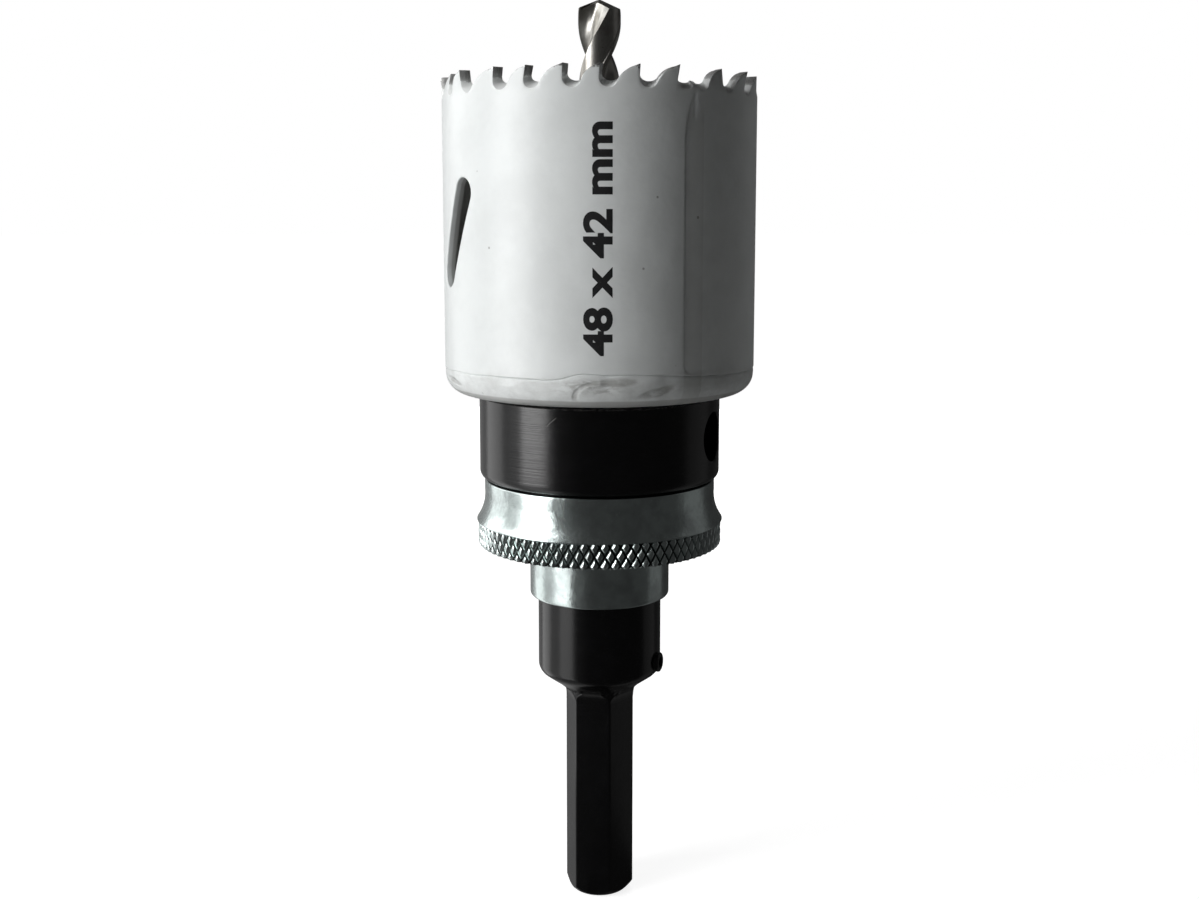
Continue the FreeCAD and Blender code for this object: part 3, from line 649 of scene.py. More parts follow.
def inside(points: np.ndarray, loops: Sequence[np.ndarray]) -> np.ndarray:
    """Which points lie within closed loops, where a loop in a loop is a hole."""
    hits = np.zeros(len(points), int)
    for loop in loops:
        for (x0, y0), (x1, y1) in zip(loop, np.roll(loop, -1, axis=0)):
            if y0 == y1:
                continue
            crosses = (y0 > points[:, 1]) != (y1 > points[:, 1])
            hits += crosses & (points[:, 0] < (x1 - x0) * (points[:, 1] - y0) / (y1 - y0) + x0)
    return hits % 2 == 1


def clearance(points: np.ndarray, loops: Sequence[np.ndarray]) -> np.ndarray:
    """The distance of each point to the nearest side of closed loops."""
    nearest = np.full(len(points), np.inf)
    for loop in loops:
        for start, end in zip(loop, np.roll(loop, -1, axis=0)):
            side = end - start
            share = np.clip(((points - start) @ side) / max(side @ side, 1e-12), 0.0, 1.0)
            gap = np.linalg.norm(points - (start + share[:, None] * side), axis=1)
            nearest = np.minimum(nearest, gap)
    return nearest


def filled(loops: Sequence[np.ndarray], lattice: np.ndarray,
           margin: float) -> tuple[np.ndarray, list[tuple[int, int, int]]]:
    """Triangles that fill the area within closed loops.

    Args:
        loops: The outline and its holes.
        lattice: Points to use inside, where they keep clear of the loops.
        margin: The clearance that they keep.

    Returns:
        The points and the triangles.
    """
    extra = lattice[inside(lattice, loops)]
    extra = extra[clearance(extra, loops) > margin]
    points = np.concatenate([*loops, extra])
    edges = []
    start = 0
    for loop in loops:
        count = len(loop)
        edges += [(start + i, start + (i + 1) % count) for i in range(count)]
        start += count
    found = delaunay_2d_cdt([Vector(p) for p in points.tolist()], edges, [], 0, 1e-7, False)
    flat = np.array([list(v) for v in found[0]])
    corners = np.array(found[2])
    kept = inside(flat[corners].mean(axis=1), loops)
    return flat, [tuple(c) for c in corners[kept].tolist()]


def normals_along(line: np.ndarray, closed: bool = True, period: float = 0.0) -> np.ndarray:
    """Mitred normals to the left of a line of points.

    Args:
        line: The points.
        closed: Whether the last point joins the first; otherwise the line repeats.
        period: The step across after which an open line repeats.

    Returns:
        One normal per point, long enough to keep a constant offset.
    """
    before, after = np.roll(line, 1, axis=0), np.roll(line, -1, axis=0)
    if not closed:
        before[0] = line[-2] - (period, 0.0)
        after[-1] = line[1] + (period, 0.0)
    sides = []
    for start, end in ((before, line), (line, after)):
        step = end - start
        step = step / np.maximum(np.linalg.norm(step, axis=1, keepdims=True), 1e-12)
        sides.append(np.stack([-step[:, 1], step[:, 0]], 1))
    total = sides[0] + sides[1]
    total /= np.maximum(np.linalg.norm(total, axis=1, keepdims=True), 1e-9)
    slant = np.maximum((total * sides[0]).sum(axis=1, keepdims=True), MITRE_LEAST)
    return total / slant


# Meshes


def put(name: str, data: bpy.types.ID) -> bpy.types.Object:
    """A new object in the scene."""
    thing = bpy.data.objects.new(name, data)
    bpy.context.scene.collection.objects.link(thing)
    return thing


def welded(data: bpy.types.Mesh, collapse: bool) -> bpy.types.Mesh:
    """The mesh with its doubles merged and its faces outwards.

    Args:
        data: The mesh.
        collapse: Whether faces and edges without a size go too.

    Returns:
        The same mesh.
    """
    net = bmesh.new()
    net.from_mesh(data)
    bmesh.ops.remove_doubles(net, verts=net.verts, dist=MERGE)
    if collapse:
        bmesh.ops.dissolve_degenerate(net, edges=net.edges, dist=COLLAPSE)
    bmesh.ops.recalc_face_normals(net, faces=net.faces)
    net.to_mesh(data)
    net.free()
    return data


def dressed(name: str, data: bpy.types.Mesh, body: Body,
            materials: Sequence[bpy.types.Material], sharp: float,
            stands_for: Sequence[str] = ()) -> bpy.types.Object:
    """Make an object of a mesh and hand it to the frame.

    Args:
        name: The piece's name.
        data: Its mesh, in place.
        body: The body that it rides on.
        materials: Its finishes.
        sharp: Edges steeper than this, in degrees, stay sharp.
        stands_for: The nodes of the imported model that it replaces.

    Returns:
        The object.
    """
    data.shade_smooth()
    data.set_sharp_from_angle(angle=math.radians(sharp))
    if not data.materials:
        for material in materials:
            data.materials.append(material)
    piece = put(name, data)
    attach(piece, body.value)
    if stands_for:
        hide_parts(*stands_for)
    LOG.info("%s: %d faces", name, len(data.polygons))
    return piece


class Draft:
    """Points and faces of a mesh while it is drawn, in millimetres."""

    def __init__(self, name: str) -> None:
        """Start an empty mesh."""
        self.name = name
        self.points: list[np.ndarray] = []
        self.count = 0
        self.faces: list[tuple[int, ...]] = []
        self.finishes: list[int] = []

    def add(self, points: np.ndarray, faces: Sequence[tuple[int, ...]], finish: int = 0) -> None:
        """Add faces with their own points.

        Args:
            points: The points, one per row.
            faces: Indices into those points.
            finish: The number of the faces' material.
        """
        self.points.append(np.asarray(points, float))
        self.faces += [tuple(self.count + corner for corner in face) for face in faces]
        self.finishes += [finish] * len(faces)
        self.count += len(points)

    def walls(self, rings: Sequence[np.ndarray], finish: int = 0, closed: bool = True) -> None:
        """Join rings of equally many points, each an array of (x, y, z)."""
        count = len(rings[0])
        faces = []
        for row in range(len(rings) - 1):
            for index in range(count if closed else count - 1):
                following = (index + 1) % count
                faces.append((row * count + index, row * count + following,
                              (row + 1) * count + following, (row + 1) * count + index))
        self.add(np.concatenate(rings), faces, finish)

    def loft(self, rows: Sequence[Sequence[np.ndarray | float]], azimuth: np.ndarray) -> None:
        """Join rows that run round the axis.

        Args:
            rows: Radius and height of each row, as a number or one for each azimuth. A row may
                bring its own azimuths as a third value.
            azimuth: The azimuths of all other rows.
        """
        rings = []
        for radius, height, *own in rows:
            radius, height, turn = np.broadcast_arrays(radius, height, own[0] if own else azimuth)
            rings.append(np.column_stack([polar(radius, turn), height]))
        self.walls(rings)

    def level(self, loops: Sequence[np.ndarray], height: float, spacing: float = 1.5) -> None:
        """Add a flat face at a height, within loops of (x, y) points."""
        low, high = loops[0].min(axis=0), loops[0].max(axis=0)
        lattice = crossed(np.arange(low[0], high[0], spacing), np.arange(low[1], high[1], spacing))
        flat, triangles = filled(loops, lattice, LATTICE_MARGIN * spacing)
        self.add(raised(flat, height), triangles)

    def moved(self, matrix: Matrix) -> None:
        """Move the points that are there so far, in millimetres."""
        turn = np.array(matrix.to_3x3())
        shift = np.array(matrix.translation)
        self.points = [points @ turn.T + shift for points in self.points]

    def mesh(self) -> bpy.types.Mesh:
        """The mesh in metres."""
        data = bpy.data.meshes.new(self.name)
        data.from_pydata((np.concatenate(self.points) * METRE).tolist(), [], self.faces)
        data.polygons.foreach_set("material_index", self.finishes)
        return welded(data, collapse=True)

    def piece(self, body: Body, slot: Slot, materials: Sequence[bpy.types.Material], sharp: float,
              stands_for: Sequence[str]) -> None:
        """Finish the piece, as dressed does."""
        dressed(self.name, self.mesh(), body, materials, sharp, stands_for)


class NodeTree:
    """A Geometry Nodes tree while it is laid out, and its run on an empty mesh."""

    KINDS = {float: "NodeSocketFloat", int: "NodeSocketInt", bpy.types.Object: "NodeSocketObject",
             bpy.types.Material: "NodeSocketMaterial"}

    def __init__(self, name: str, inputs: dict[str, object]) -> None:
        """Start a tree.

        Args:
            name: The tree's name.
            inputs: The named inputs and their values.
        """
        self.name = name
        self.values = inputs
        self.tree = bpy.data.node_groups.new(name, "GeometryNodeTree")
        self.keys: dict[str, str] = {}
        for label, value in inputs.items():
            kind = next(k for t, k in self.KINDS.items() if isinstance(value, t))
            socket = self.tree.interface.new_socket(label, in_out="INPUT", socket_type=kind)
            self.keys[label] = socket.identifier
        self.tree.interface.new_socket("Geometry", in_out="OUTPUT",
                                       socket_type="NodeSocketGeometry")
        self.entry = self.tree.nodes.new("NodeGroupInput")

    def input(self, label: str) -> bpy.types.NodeSocket:
        """The socket of a named input."""
        return self.entry.outputs[label]

    def node(self, kind: str, settings: dict, sockets: dict,
             output: int | str = 0) -> bpy.types.NodeSocket:
        """Add a node, as add_node does."""
        return add_node(self.tree, kind, settings, sockets, output)

    def run(self, last: bpy.types.NodeSocket) -> bpy.types.Mesh:
        """Close the tree and turn its result into a plain mesh.

        Args:
            last: The geometry that leaves the tree.

        Returns:
            The mesh, with its doubles merged.
        """
        self.node("NodeGroupOutput", {}, {0: last})
        carrier = put(self.name + "_carrier", bpy.data.meshes.new(self.name))
        modifier = carrier.modifiers.new(self.name, "NODES")
        modifier.node_group = self.tree
        for label, value in self.values.items():
            modifier[self.keys[label]] = value
        graph = bpy.context.evaluated_depsgraph_get()
        data = bpy.data.meshes.new_from_object(carrier.evaluated_get(graph),
                                               preserve_all_data_layers=True, depsgraph=graph)
        carrier.modifiers.remove(modifier)
        bpy.data.objects.remove(carrier)
        return welded(data, collapse=False)


# Saw


@dataclass
class ToothRow:
    """The uneven, set teeth along the saw's rim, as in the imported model."""

    radius: float = 23.5
    count: int = 26
    gullet_line: float = 123.5
    height: float = 3.2
    gullet: float = 1.28
    land: float = 0.6
    relief: float = 22.0
    rake: float = 5.0
    bulge: float = 0.42
    slant: float = 60.0
    slant_depth: float = 2.6
    lean: float = 0.5
    bend: float = 123.9
    first: float = 26.9
    seam_gap: float = 7.0
    seam_floor: float = 2.9
    weld_rest: tuple = ((0.0, 0.0), (0.1, 0.03), (0.18, 0.1), (0.26, 0.34), (0.33, 0.46),
                        (0.41, 0.5), (0.49, 0.56), (0.56, 0.5), (0.64, 0.2), (0.8, 0.04))
    gullet_rise: float = 1.0
    gullet_shift: float = 0.5
    shares: tuple = (0.972, 0.994, 0.882, 1.024, 0.904, 1.226)
    ways: tuple = (1, -1, 0)
    start: int = 15

    def __post_init__(self) -> None:
        """Work out where each tooth stands."""
        shares = [self.shares[index % len(self.shares)] for index in range(self.count)]
        step = (360.0 - self.seam_gap) / sum(shares)
        azimuth = self.first
        teeth = []
        for index, share in enumerate(shares):
            gap = share * step + (self.seam_gap if index == self.count - 1 else 0.0)
            teeth.append((math.radians(azimuth) * self.radius, math.radians(gap) * self.radius,
                          self.ways[index % len(self.ways)]))
            azimuth -= gap
        self.turn = math.tau * self.radius
        # The strip starts at the back, so the teeth beyond its start go a turn further.
        later = [(place + self.turn, gap, way) for place, gap, way in teeth[self.start:]]
        self.teeth = later + teeth[:self.start]
        self.hook = (self.height - self.gullet) * math.tan(math.radians(self.rake))
        self.floor = self.gullet - self.hook

    def tooth(self, place: float, gap: float, spare: float = 0.0) -> list[np.ndarray]:
        """The outline of a tooth from the gullet on its right to the one on its left.

        Args:
            place: Where its tip is along the strip.
            gap: Its distance from the tooth on its left.
            spare: How much of the gap is left flat, with the rest of the weld standing in it.

        Returns:
            The points, without the last.
        """
        base = np.array((place, self.gullet_line))
        radius, slant = self.gullet, math.radians(self.slant)
        right_floor = base + (self.floor, 0.0)
        face_foot = base + (-self.hook, radius)
        tip = base + (0.0, self.height)
        heel = base + (-self.land, self.height - self.land * math.tan(math.radians(self.relief)))
        left_floor = base + (self.floor - gap + spare, 0.0)
        back_foot = left_floor + (radius * math.sin(slant), radius * (1 - math.cos(slant)))
        middle = right_floor + (0.0, radius)
        points = swept(right_floor - middle, face_foot - middle, middle, 9)[:-1]
        points += [face_foot + (tip - face_foot) * share for share in (0.0, 0.33, 0.66, 0.92)]
        points += [tip, heel]
        chord = heel - back_foot
        outwards = np.array((-chord[1], chord[0])) / np.linalg.norm(chord)
        steps = max(4, int(np.linalg.norm(chord) / 0.4))
        for index in range(1, steps):
            share = index / steps
            points.append(heel - chord * share + outwards * self.bulge * 4 * share * (1 - share))
        middle = left_floor + (0.0, radius)
        points += swept(back_foot - middle, left_floor - middle, middle, 5)[:-1]
        if spare:
            points += [left_floor + (-spare * share, rise) for share, rise in self.weld_rest]
        return points

    def outline(self) -> np.ndarray:
        """The whole toothed edge from left to right, once round."""
        points: list[np.ndarray] = []
        widest = max(gap for _, gap, _ in self.teeth)
        for place, gap, _ in self.teeth:
            points += self.tooth(place, gap, self.seam_floor if gap == widest else 0.0)
        place, gap, _ = self.teeth[-1]
        points.append(np.array((place + self.floor - gap, self.gullet_line)))
        return np.array(points)[::-1]

    def slanted(self, flat: np.ndarray, share: float) -> tuple[np.ndarray, np.ndarray]:
        """Places on the strip after the gullets, which are cut at a slant, rise inwards.

        Args:
            flat: Distance round the wall and height of each point.
            share: Depth in the wall, from 0 at the outer face to 1 at the inner.

        Returns:
            The distances round the wall and the heights.
        """
        above = (flat[:, 1] - self.gullet_line) / self.slant_depth + 1.0
        above = smooth(np.clip(above, 0.0, 1.0))
        below_tip = np.clip((self.gullet_line + self.height - flat[:, 1]) / self.height, 0.0, 1.0)
        rise = self.gullet_rise * share * above * below_tip
        return flat[:, 0] + self.gullet_shift * share * above, flat[:, 1] + rise

    def lean_at(self, across: np.ndarray, height: np.ndarray) -> np.ndarray:
        """How far the strip leans outwards at places on it."""
        total = np.zeros_like(across)
        free = self.gullet_line + self.height - self.bend
        rise = np.clip((height - self.bend) / free, 0.0, 1.1)
        for place, gap, way in self.teeth:
            right = place + self.floor
            within = (across <= right + 1e-6) & (across >= right - gap - 1e-6)
            total = np.where(within, way * self.lean * rise, total)
        return total


@dataclass
class Saw:
    """The cup: rolled strip with teeth and slots, its end plate and its size print."""

    wall: float = 1.5
    teeth: ToothRow = field(default_factory=ToothRow)
    slot_width: float = 4.4
    slot_length: float = 16.8
    slot_height: float = 104.1
    slot_tilt: float = 24.8
    slot_azimuths: tuple = (-62.1, 117.9)
    slot_round: float = 0.22
    seam_azimuth: float = 33.7
    seam_half: float = 1.55
    seam_low: float = 84.5
    seam_high: float = 122.8
    seam_drop: float = 0.13
    seam_soft: float = 0.5
    seam_point: float = 5.5
    seam_crease: float = 0.09
    crease_low: float = 119.5
    crease_half: float = 0.24
    weld_mean: float = 83.9
    lap: tuple = ((-180.0, 0.0), (-17.0, 0.0), (-14.0, 0.12), (-11.0, 0.42), (-8.0, 0.8),
                  (-5.5, 1.0), (-2.0, 0.95), (3.0, 0.78), (12.0, 0.7), (24.0, 0.5), (36.0, 0.2),
                  (50.0, 0.0), (180.0, 0.0))
    columns: int = 240
    crest_round: float = 0.045
    base_round: float = 0.16
    row_step: float = 1.6
    tooth_rows: tuple = (123.9, 124.4, 125.0, 125.6)
    seat: float = SEAT
    floor_top: float = 84.7
    bore: float = 8.02
    bevel: float = 0.3
    corner: float = 3.0
    rim: float = 23.4
    # Azimuth, width and height of the bumps along the weld.
    lumps: tuple = ((-4.0, 3.5, 0.07), (2.5, 2.0, -0.10), (14.0, 8.0, 0.09), (24.0, 2.5, -0.06),
                    (-34.0, 6.0, 0.05), (-58.0, 7.0, 0.06), (41.0, 5.0, 0.06), (64.0, 7.0, 0.05),
                    (110.0, 9.0, 0.07), (158.0, 6.0, 0.06), (-120.0, 8.0, 0.07))
    # Depth below the crease, inset from the rim and share of the bumps of the bead's rows.
    bead: tuple = ((0.55, -0.03, 1.0), (0.38, -0.03, 1.0), (0.22, -0.01, 1.0), (0.12, 0.025, 0.9),
                   (0.05, 0.065, 0.8), (0.0, 0.13, 0.6), (0.01, 0.5, 0.0), (0.01, 1.42, 0.0))
    # Inset from the inner wall and height above the floor of the cup's inner corner.
    inner_corner: tuple = ((0.03, 0.55), (0.12, 0.2), (0.4, 0.05), (0.9, 0.0))
    pin_hole: float = 2.8
    label: str = "48 x 42 mm"
    label_low: float = 87.6
    label_high: float = 119.0
    label_height: float = 4.05
    label_azimuth: float = -0.5
    letter_size: float = 5.6
    letter_offset: float = 0.2
    letter_strip: float = 0.3
    print_proud: float = 0.008
    print_sunk: float = 0.03

    def __post_init__(self) -> None:
        """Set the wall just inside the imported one."""
        self.outer = self.teeth.radius - 0.01

    def weld_height(self, azimuth: np.ndarray) -> np.ndarray:
        """The height of the uneven crease between the strip and the weld."""
        drop = 0.35 * np.cos(np.radians(azimuth))
        # The weld starts and ends near the front, where it laps over itself.
        lap = 0.9 * np.interp(wrapped(azimuth), *zip(*self.lap))
        return self.weld_mean + drop + lap + 0.09 * waves(azimuth, 4, (5, 9, 13, 21))

    def seam_at(self, across: np.ndarray, height: np.ndarray) -> np.ndarray:
        """How far the dressed seam stands out, or in if negative, at places on the strip."""
        middle = math.radians(self.seam_azimuth) * self.outer
        offset = wrapped(across - middle, self.teeth.turn)
        # The patch ends round at the bottom and runs out to a point at the rim.
        past = np.maximum(self.seam_low + self.seam_half - height, 0.0)
        taper = np.clip((self.seam_high - height) / self.seam_point, 0.0025, 1.0) ** 0.5
        reach = np.hypot(offset / taper, past)
        edge = np.clip((self.seam_half - reach) / self.seam_soft + 0.5, 0.0, 1.0)
        # It drops at its left edge and comes up again to the right one.
        side = np.clip(0.5 - offset / (2 * self.seam_half * taper), 0.0, 1.0)
        patch = smooth(edge) * side * np.clip((self.seam_high - height) / 0.8, 0.0, 1.0)
        above = np.clip((height - self.crease_low) / 1.5, 0.0, 1.0)
        crease = np.exp(-(offset / self.crease_half) ** 2) * above
        return -self.seam_drop * patch - self.seam_crease * crease

    def placed(self, flat: np.ndarray, depth: float) -> np.ndarray:
        """Places on the strip, rolled up.

        Args:
            flat: Distance round the wall and height of each point.
            depth: Depth below the outer face.

        Returns:
            The points in space.
        """
        across, height = self.teeth.slanted(flat, depth / self.wall)
        radius = self.outer - depth + self.teeth.lean_at(flat[:, 0], height)
        radius = radius + self.seam_at(across, height) * (1 - depth / self.wall)
        return np.column_stack([polar(radius, np.degrees(across / self.outer)), height])

    def within(self, place: float, left: float) -> float:
        """A place on the strip, moved by whole turns to where the strip runs from its left end."""
        turns = round((left + self.teeth.turn / 2 - place) / self.teeth.turn)
        return place + self.teeth.turn * turns

    def slot_loop(self, azimuth: float, left: float) -> np.ndarray:
        """The outline of a slanted slot on the flat strip, which starts at its left end."""
        radius, half = self.slot_width / 2, (self.slot_length - self.slot_width) / 2
        turn = np.radians(np.arange(0, 181, 10))
        top = np.stack([radius * np.cos(turn), half + radius * np.sin(turn)], 1)
        sides = np.linspace(-half, half, 12)[1:-1]
        side = np.stack([np.full(len(sides), radius), sides], 1)
        loop = np.concatenate([side, top, -side, -top])
        cos, sin = math.cos(math.radians(self.slot_tilt)), math.sin(math.radians(self.slot_tilt))
        place = self.within(math.radians(azimuth) * self.outer, left)
        return loop @ np.array(((cos, -sin), (sin, cos))) + (place, self.slot_height)

    def edge_rings(self, line: np.ndarray, inwards: np.ndarray, rounding: float,
                   steps: int) -> list[tuple[np.ndarray, float]]:
        """The flat lines and depths that carry a rounded edge from face to face."""
        rings = [(line + inwards * rounding * (1 - sine), rounding * fall)
                 for sine, fall in quarter(steps)]
        return rings + [(flat, self.wall - depth) for flat, depth in reversed(rings)]

    def shell(self, paint: bpy.types.Material, cut: bpy.types.Material) -> None:
        """The strip, with rounded edges at the slots and crisp ones at the teeth."""
        draft = Draft("saw_shell_painted")
        crest = self.teeth.outline()
        left, right = crest[0, 0], crest[-1, 0]
        columns = np.linspace(left, right, self.columns + 1)
        azimuth = np.degrees(columns / self.outer)
        base = np.stack([columns, self.weld_height(azimuth)], 1)
        base[-1, 1] = base[0, 1]
        crest_in = -normals_along(crest, False, self.teeth.turn)
        crest_in[-1] = crest_in[0] = (0.0, -1.0)
        base_in = normals_along(base, False, self.teeth.turn)
        base_in[-1] = base_in[0] = (0.0, 1.0)
        crest_rings = self.edge_rings(crest, crest_in, self.crest_round, 2)
        base_rings = self.edge_rings(base, base_in, self.base_round, 4)
        slots = [self.slot_loop(place, left) for place in self.slot_azimuths]
        slot_rings = [self.edge_rings(loop, -normals_along(loop), self.slot_round, 4)
                      for loop in slots]
        top, bottom = crest_rings[0][0], base_rings[0][0]
        sides = np.arange(86.0, 123.0, self.row_step)
        right_side = np.stack([np.full(len(sides), right), sides], 1)
        left_side = np.stack([np.full(len(sides), left), sides[::-1]], 1)
        border = np.concatenate([bottom, right_side, top[::-1], left_side])
        loops = [border] + [rings[0][0] for rings in slot_rings]
        heights = [*spans((85.2, 121.0, self.row_step), (121.4, 123.7, 0.6)), *self.tooth_rows]
        # The seam's patch has closer columns at its sides and closer points at its ends.
        seam = self.within(math.radians(self.seam_azimuth) * self.outer, left)
        extra = np.concatenate([seam + sign * (self.seam_half + np.arange(-0.56, 0.5, 0.08))
                                for sign in (-1, 1)])
        ends = spans((84.75, 87.2, 0.16), (117.0, 122.9, 0.2))
        reach = self.seam_half + 0.56
        lattice = np.concatenate([crossed(np.concatenate([columns[1:-1], extra]), heights),
                                  crossed(np.arange(seam - reach, seam + reach, 0.12), ends)])
        flat, triangles = filled(loops, lattice, 0.18)
        for depth, order in ((0.0, 1), (self.wall, -1)):
            draft.add(self.placed(flat, depth), [face[::order] for face in triangles])
        for rings, finish in ((crest_rings, 1), (base_rings, 0)):
            draft.walls([self.placed(line, depth) for line, depth in rings], finish, False)
        for rings in slot_rings:
            draft.walls([self.placed(line, depth) for line, depth in rings])
        draft.piece(Body.ARBOR, Slot.PAINT, [paint, cut], 32.0, ["saw_shell"])

    def end_plate(self, paint: bpy.types.Material) -> None:
        """The thick end plate with the lumpy weld round it."""
        draft = Draft("saw_end_plate_painted")
        azimuth = around(288)
        weld = self.weld_height(azimuth)
        lumps = 0.035 * waves(azimuth, 9, (7, 11, 17, 29)) + 0.02 * waves(azimuth, 12, (41, 53))
        for place, spread, rise in self.lumps:
            lumps = lumps + rise * np.exp(-((azimuth - place) / spread) ** 2)
        face, most, steps = self.rim - self.corner, self.outer - 0.012, 12
        rows = [(face - 0.4, self.seat), (face, self.seat)]
        for step, (sine, fall) in enumerate(quarter(steps)[1:], 1):
            radius = face + self.corner * sine + lumps * (step / steps) ** 3
            rows.append((np.minimum(radius, most), self.seat + self.corner * fall))
        rows += [(np.minimum(self.rim - inset + lumps * share, most), weld - below)
                 for below, inset, share in self.bead]
        inner = self.outer - self.wall
        rows += [(inner - inset, self.floor_top + rise) for inset, rise in self.inner_corner]
        draft.loft(rows, azimuth)
        holes = pin_places()
        for radius, height in ((rows[0][0], self.seat), (rows[-1][0], self.floor_top)):
            loops = [polar(radius, azimuth), circle(self.bore + self.bevel, 96)]
            loops += [circle(self.pin_hole + self.bevel, 48, hole) for hole in holes]
            draft.level(loops, height, 1.6)
        for radius, count, centre in ((self.bore, 96, (0.0, 0.0)), (self.pin_hole, 48, holes[0]),
                                      (self.pin_hole, 48, holes[1])):
            draft.walls([raised(circle(radius + widened, count, centre), height)
                         for widened, height in ((self.bevel, self.seat),
                                                 (0.0, self.seat + self.bevel),
                                                 (0.0, self.floor_top - self.bevel),
                                                 (self.bevel, self.floor_top))])
        draft.piece(Body.ARBOR, Slot.PAINT, [paint], 32.0, ["saw_end_plate"])

    def size_print(self, ink: bpy.types.Material) -> None:
        """The saw's size in plain figures, printed up the front of the wall."""
        words = bpy.data.curves.new("size_words", "FONT")
        words.body = self.label
        words.size = self.letter_size
        words.offset = self.letter_offset
        words.resolution_u = 5
        words.align_x = "LEFT"
        carrier = put("size_words", words)
        graph = bpy.context.evaluated_depsgraph_get()
        data = bpy.data.meshes.new_from_object(carrier.evaluated_get(graph), depsgraph=graph)
        bpy.data.objects.remove(carrier)
        net = bmesh.new()
        net.from_mesh(data)
        spots = np.array([v.co[:2] for v in net.verts])
        low, high = spots.min(axis=0), spots.max(axis=0)
        grow = (self.label_high - self.label_low) / (high[0] - low[0])
        tall = self.label_height / (high[1] - low[1])
        middle = math.radians(self.label_azimuth) * self.outer
        for vertex in net.verts:
            along = self.label_low + (vertex.co.x - low[0]) * grow
            across = middle - ((vertex.co.y - (low[1] + high[1]) / 2) * tall)
            vertex.co = (across, along, 0.0)
        # The letters are cut into narrow strips, so that they bend with the wall.
        half = self.label_height / 2
        for cut in np.arange(middle - half, middle + half, self.letter_strip):
            bmesh.ops.bisect_plane(net, geom=[*net.verts, *net.edges, *net.faces],
                                   plane_co=(cut, 0, 0), plane_no=(1, 0, 0), dist=1e-5)
        bmesh.ops.remove_doubles(net, verts=net.verts, dist=1e-4)
        grown = bmesh.ops.extrude_face_region(net, geom=list(net.faces))
        for vertex in (item for item in grown["geom"] if isinstance(item, bmesh.types.BMVert)):
            vertex.co.z = 1.0
        for vertex in net.verts:
            radius = self.outer + (self.print_proud if vertex.co.z > 0.5 else -self.print_sunk)
            x, y = polar(radius, math.degrees(vertex.co.x / self.outer))
            vertex.co = Vector((x, y, vertex.co.y)) * METRE
        bmesh.ops.recalc_face_normals(net, faces=net.faces)
        net.to_mesh(data)
        net.free()
        data.materials.clear()
        data.name = "saw_size_print"
        dressed("saw_size_print", data, Body.ARBOR, [ink], 30.0)


# Drill


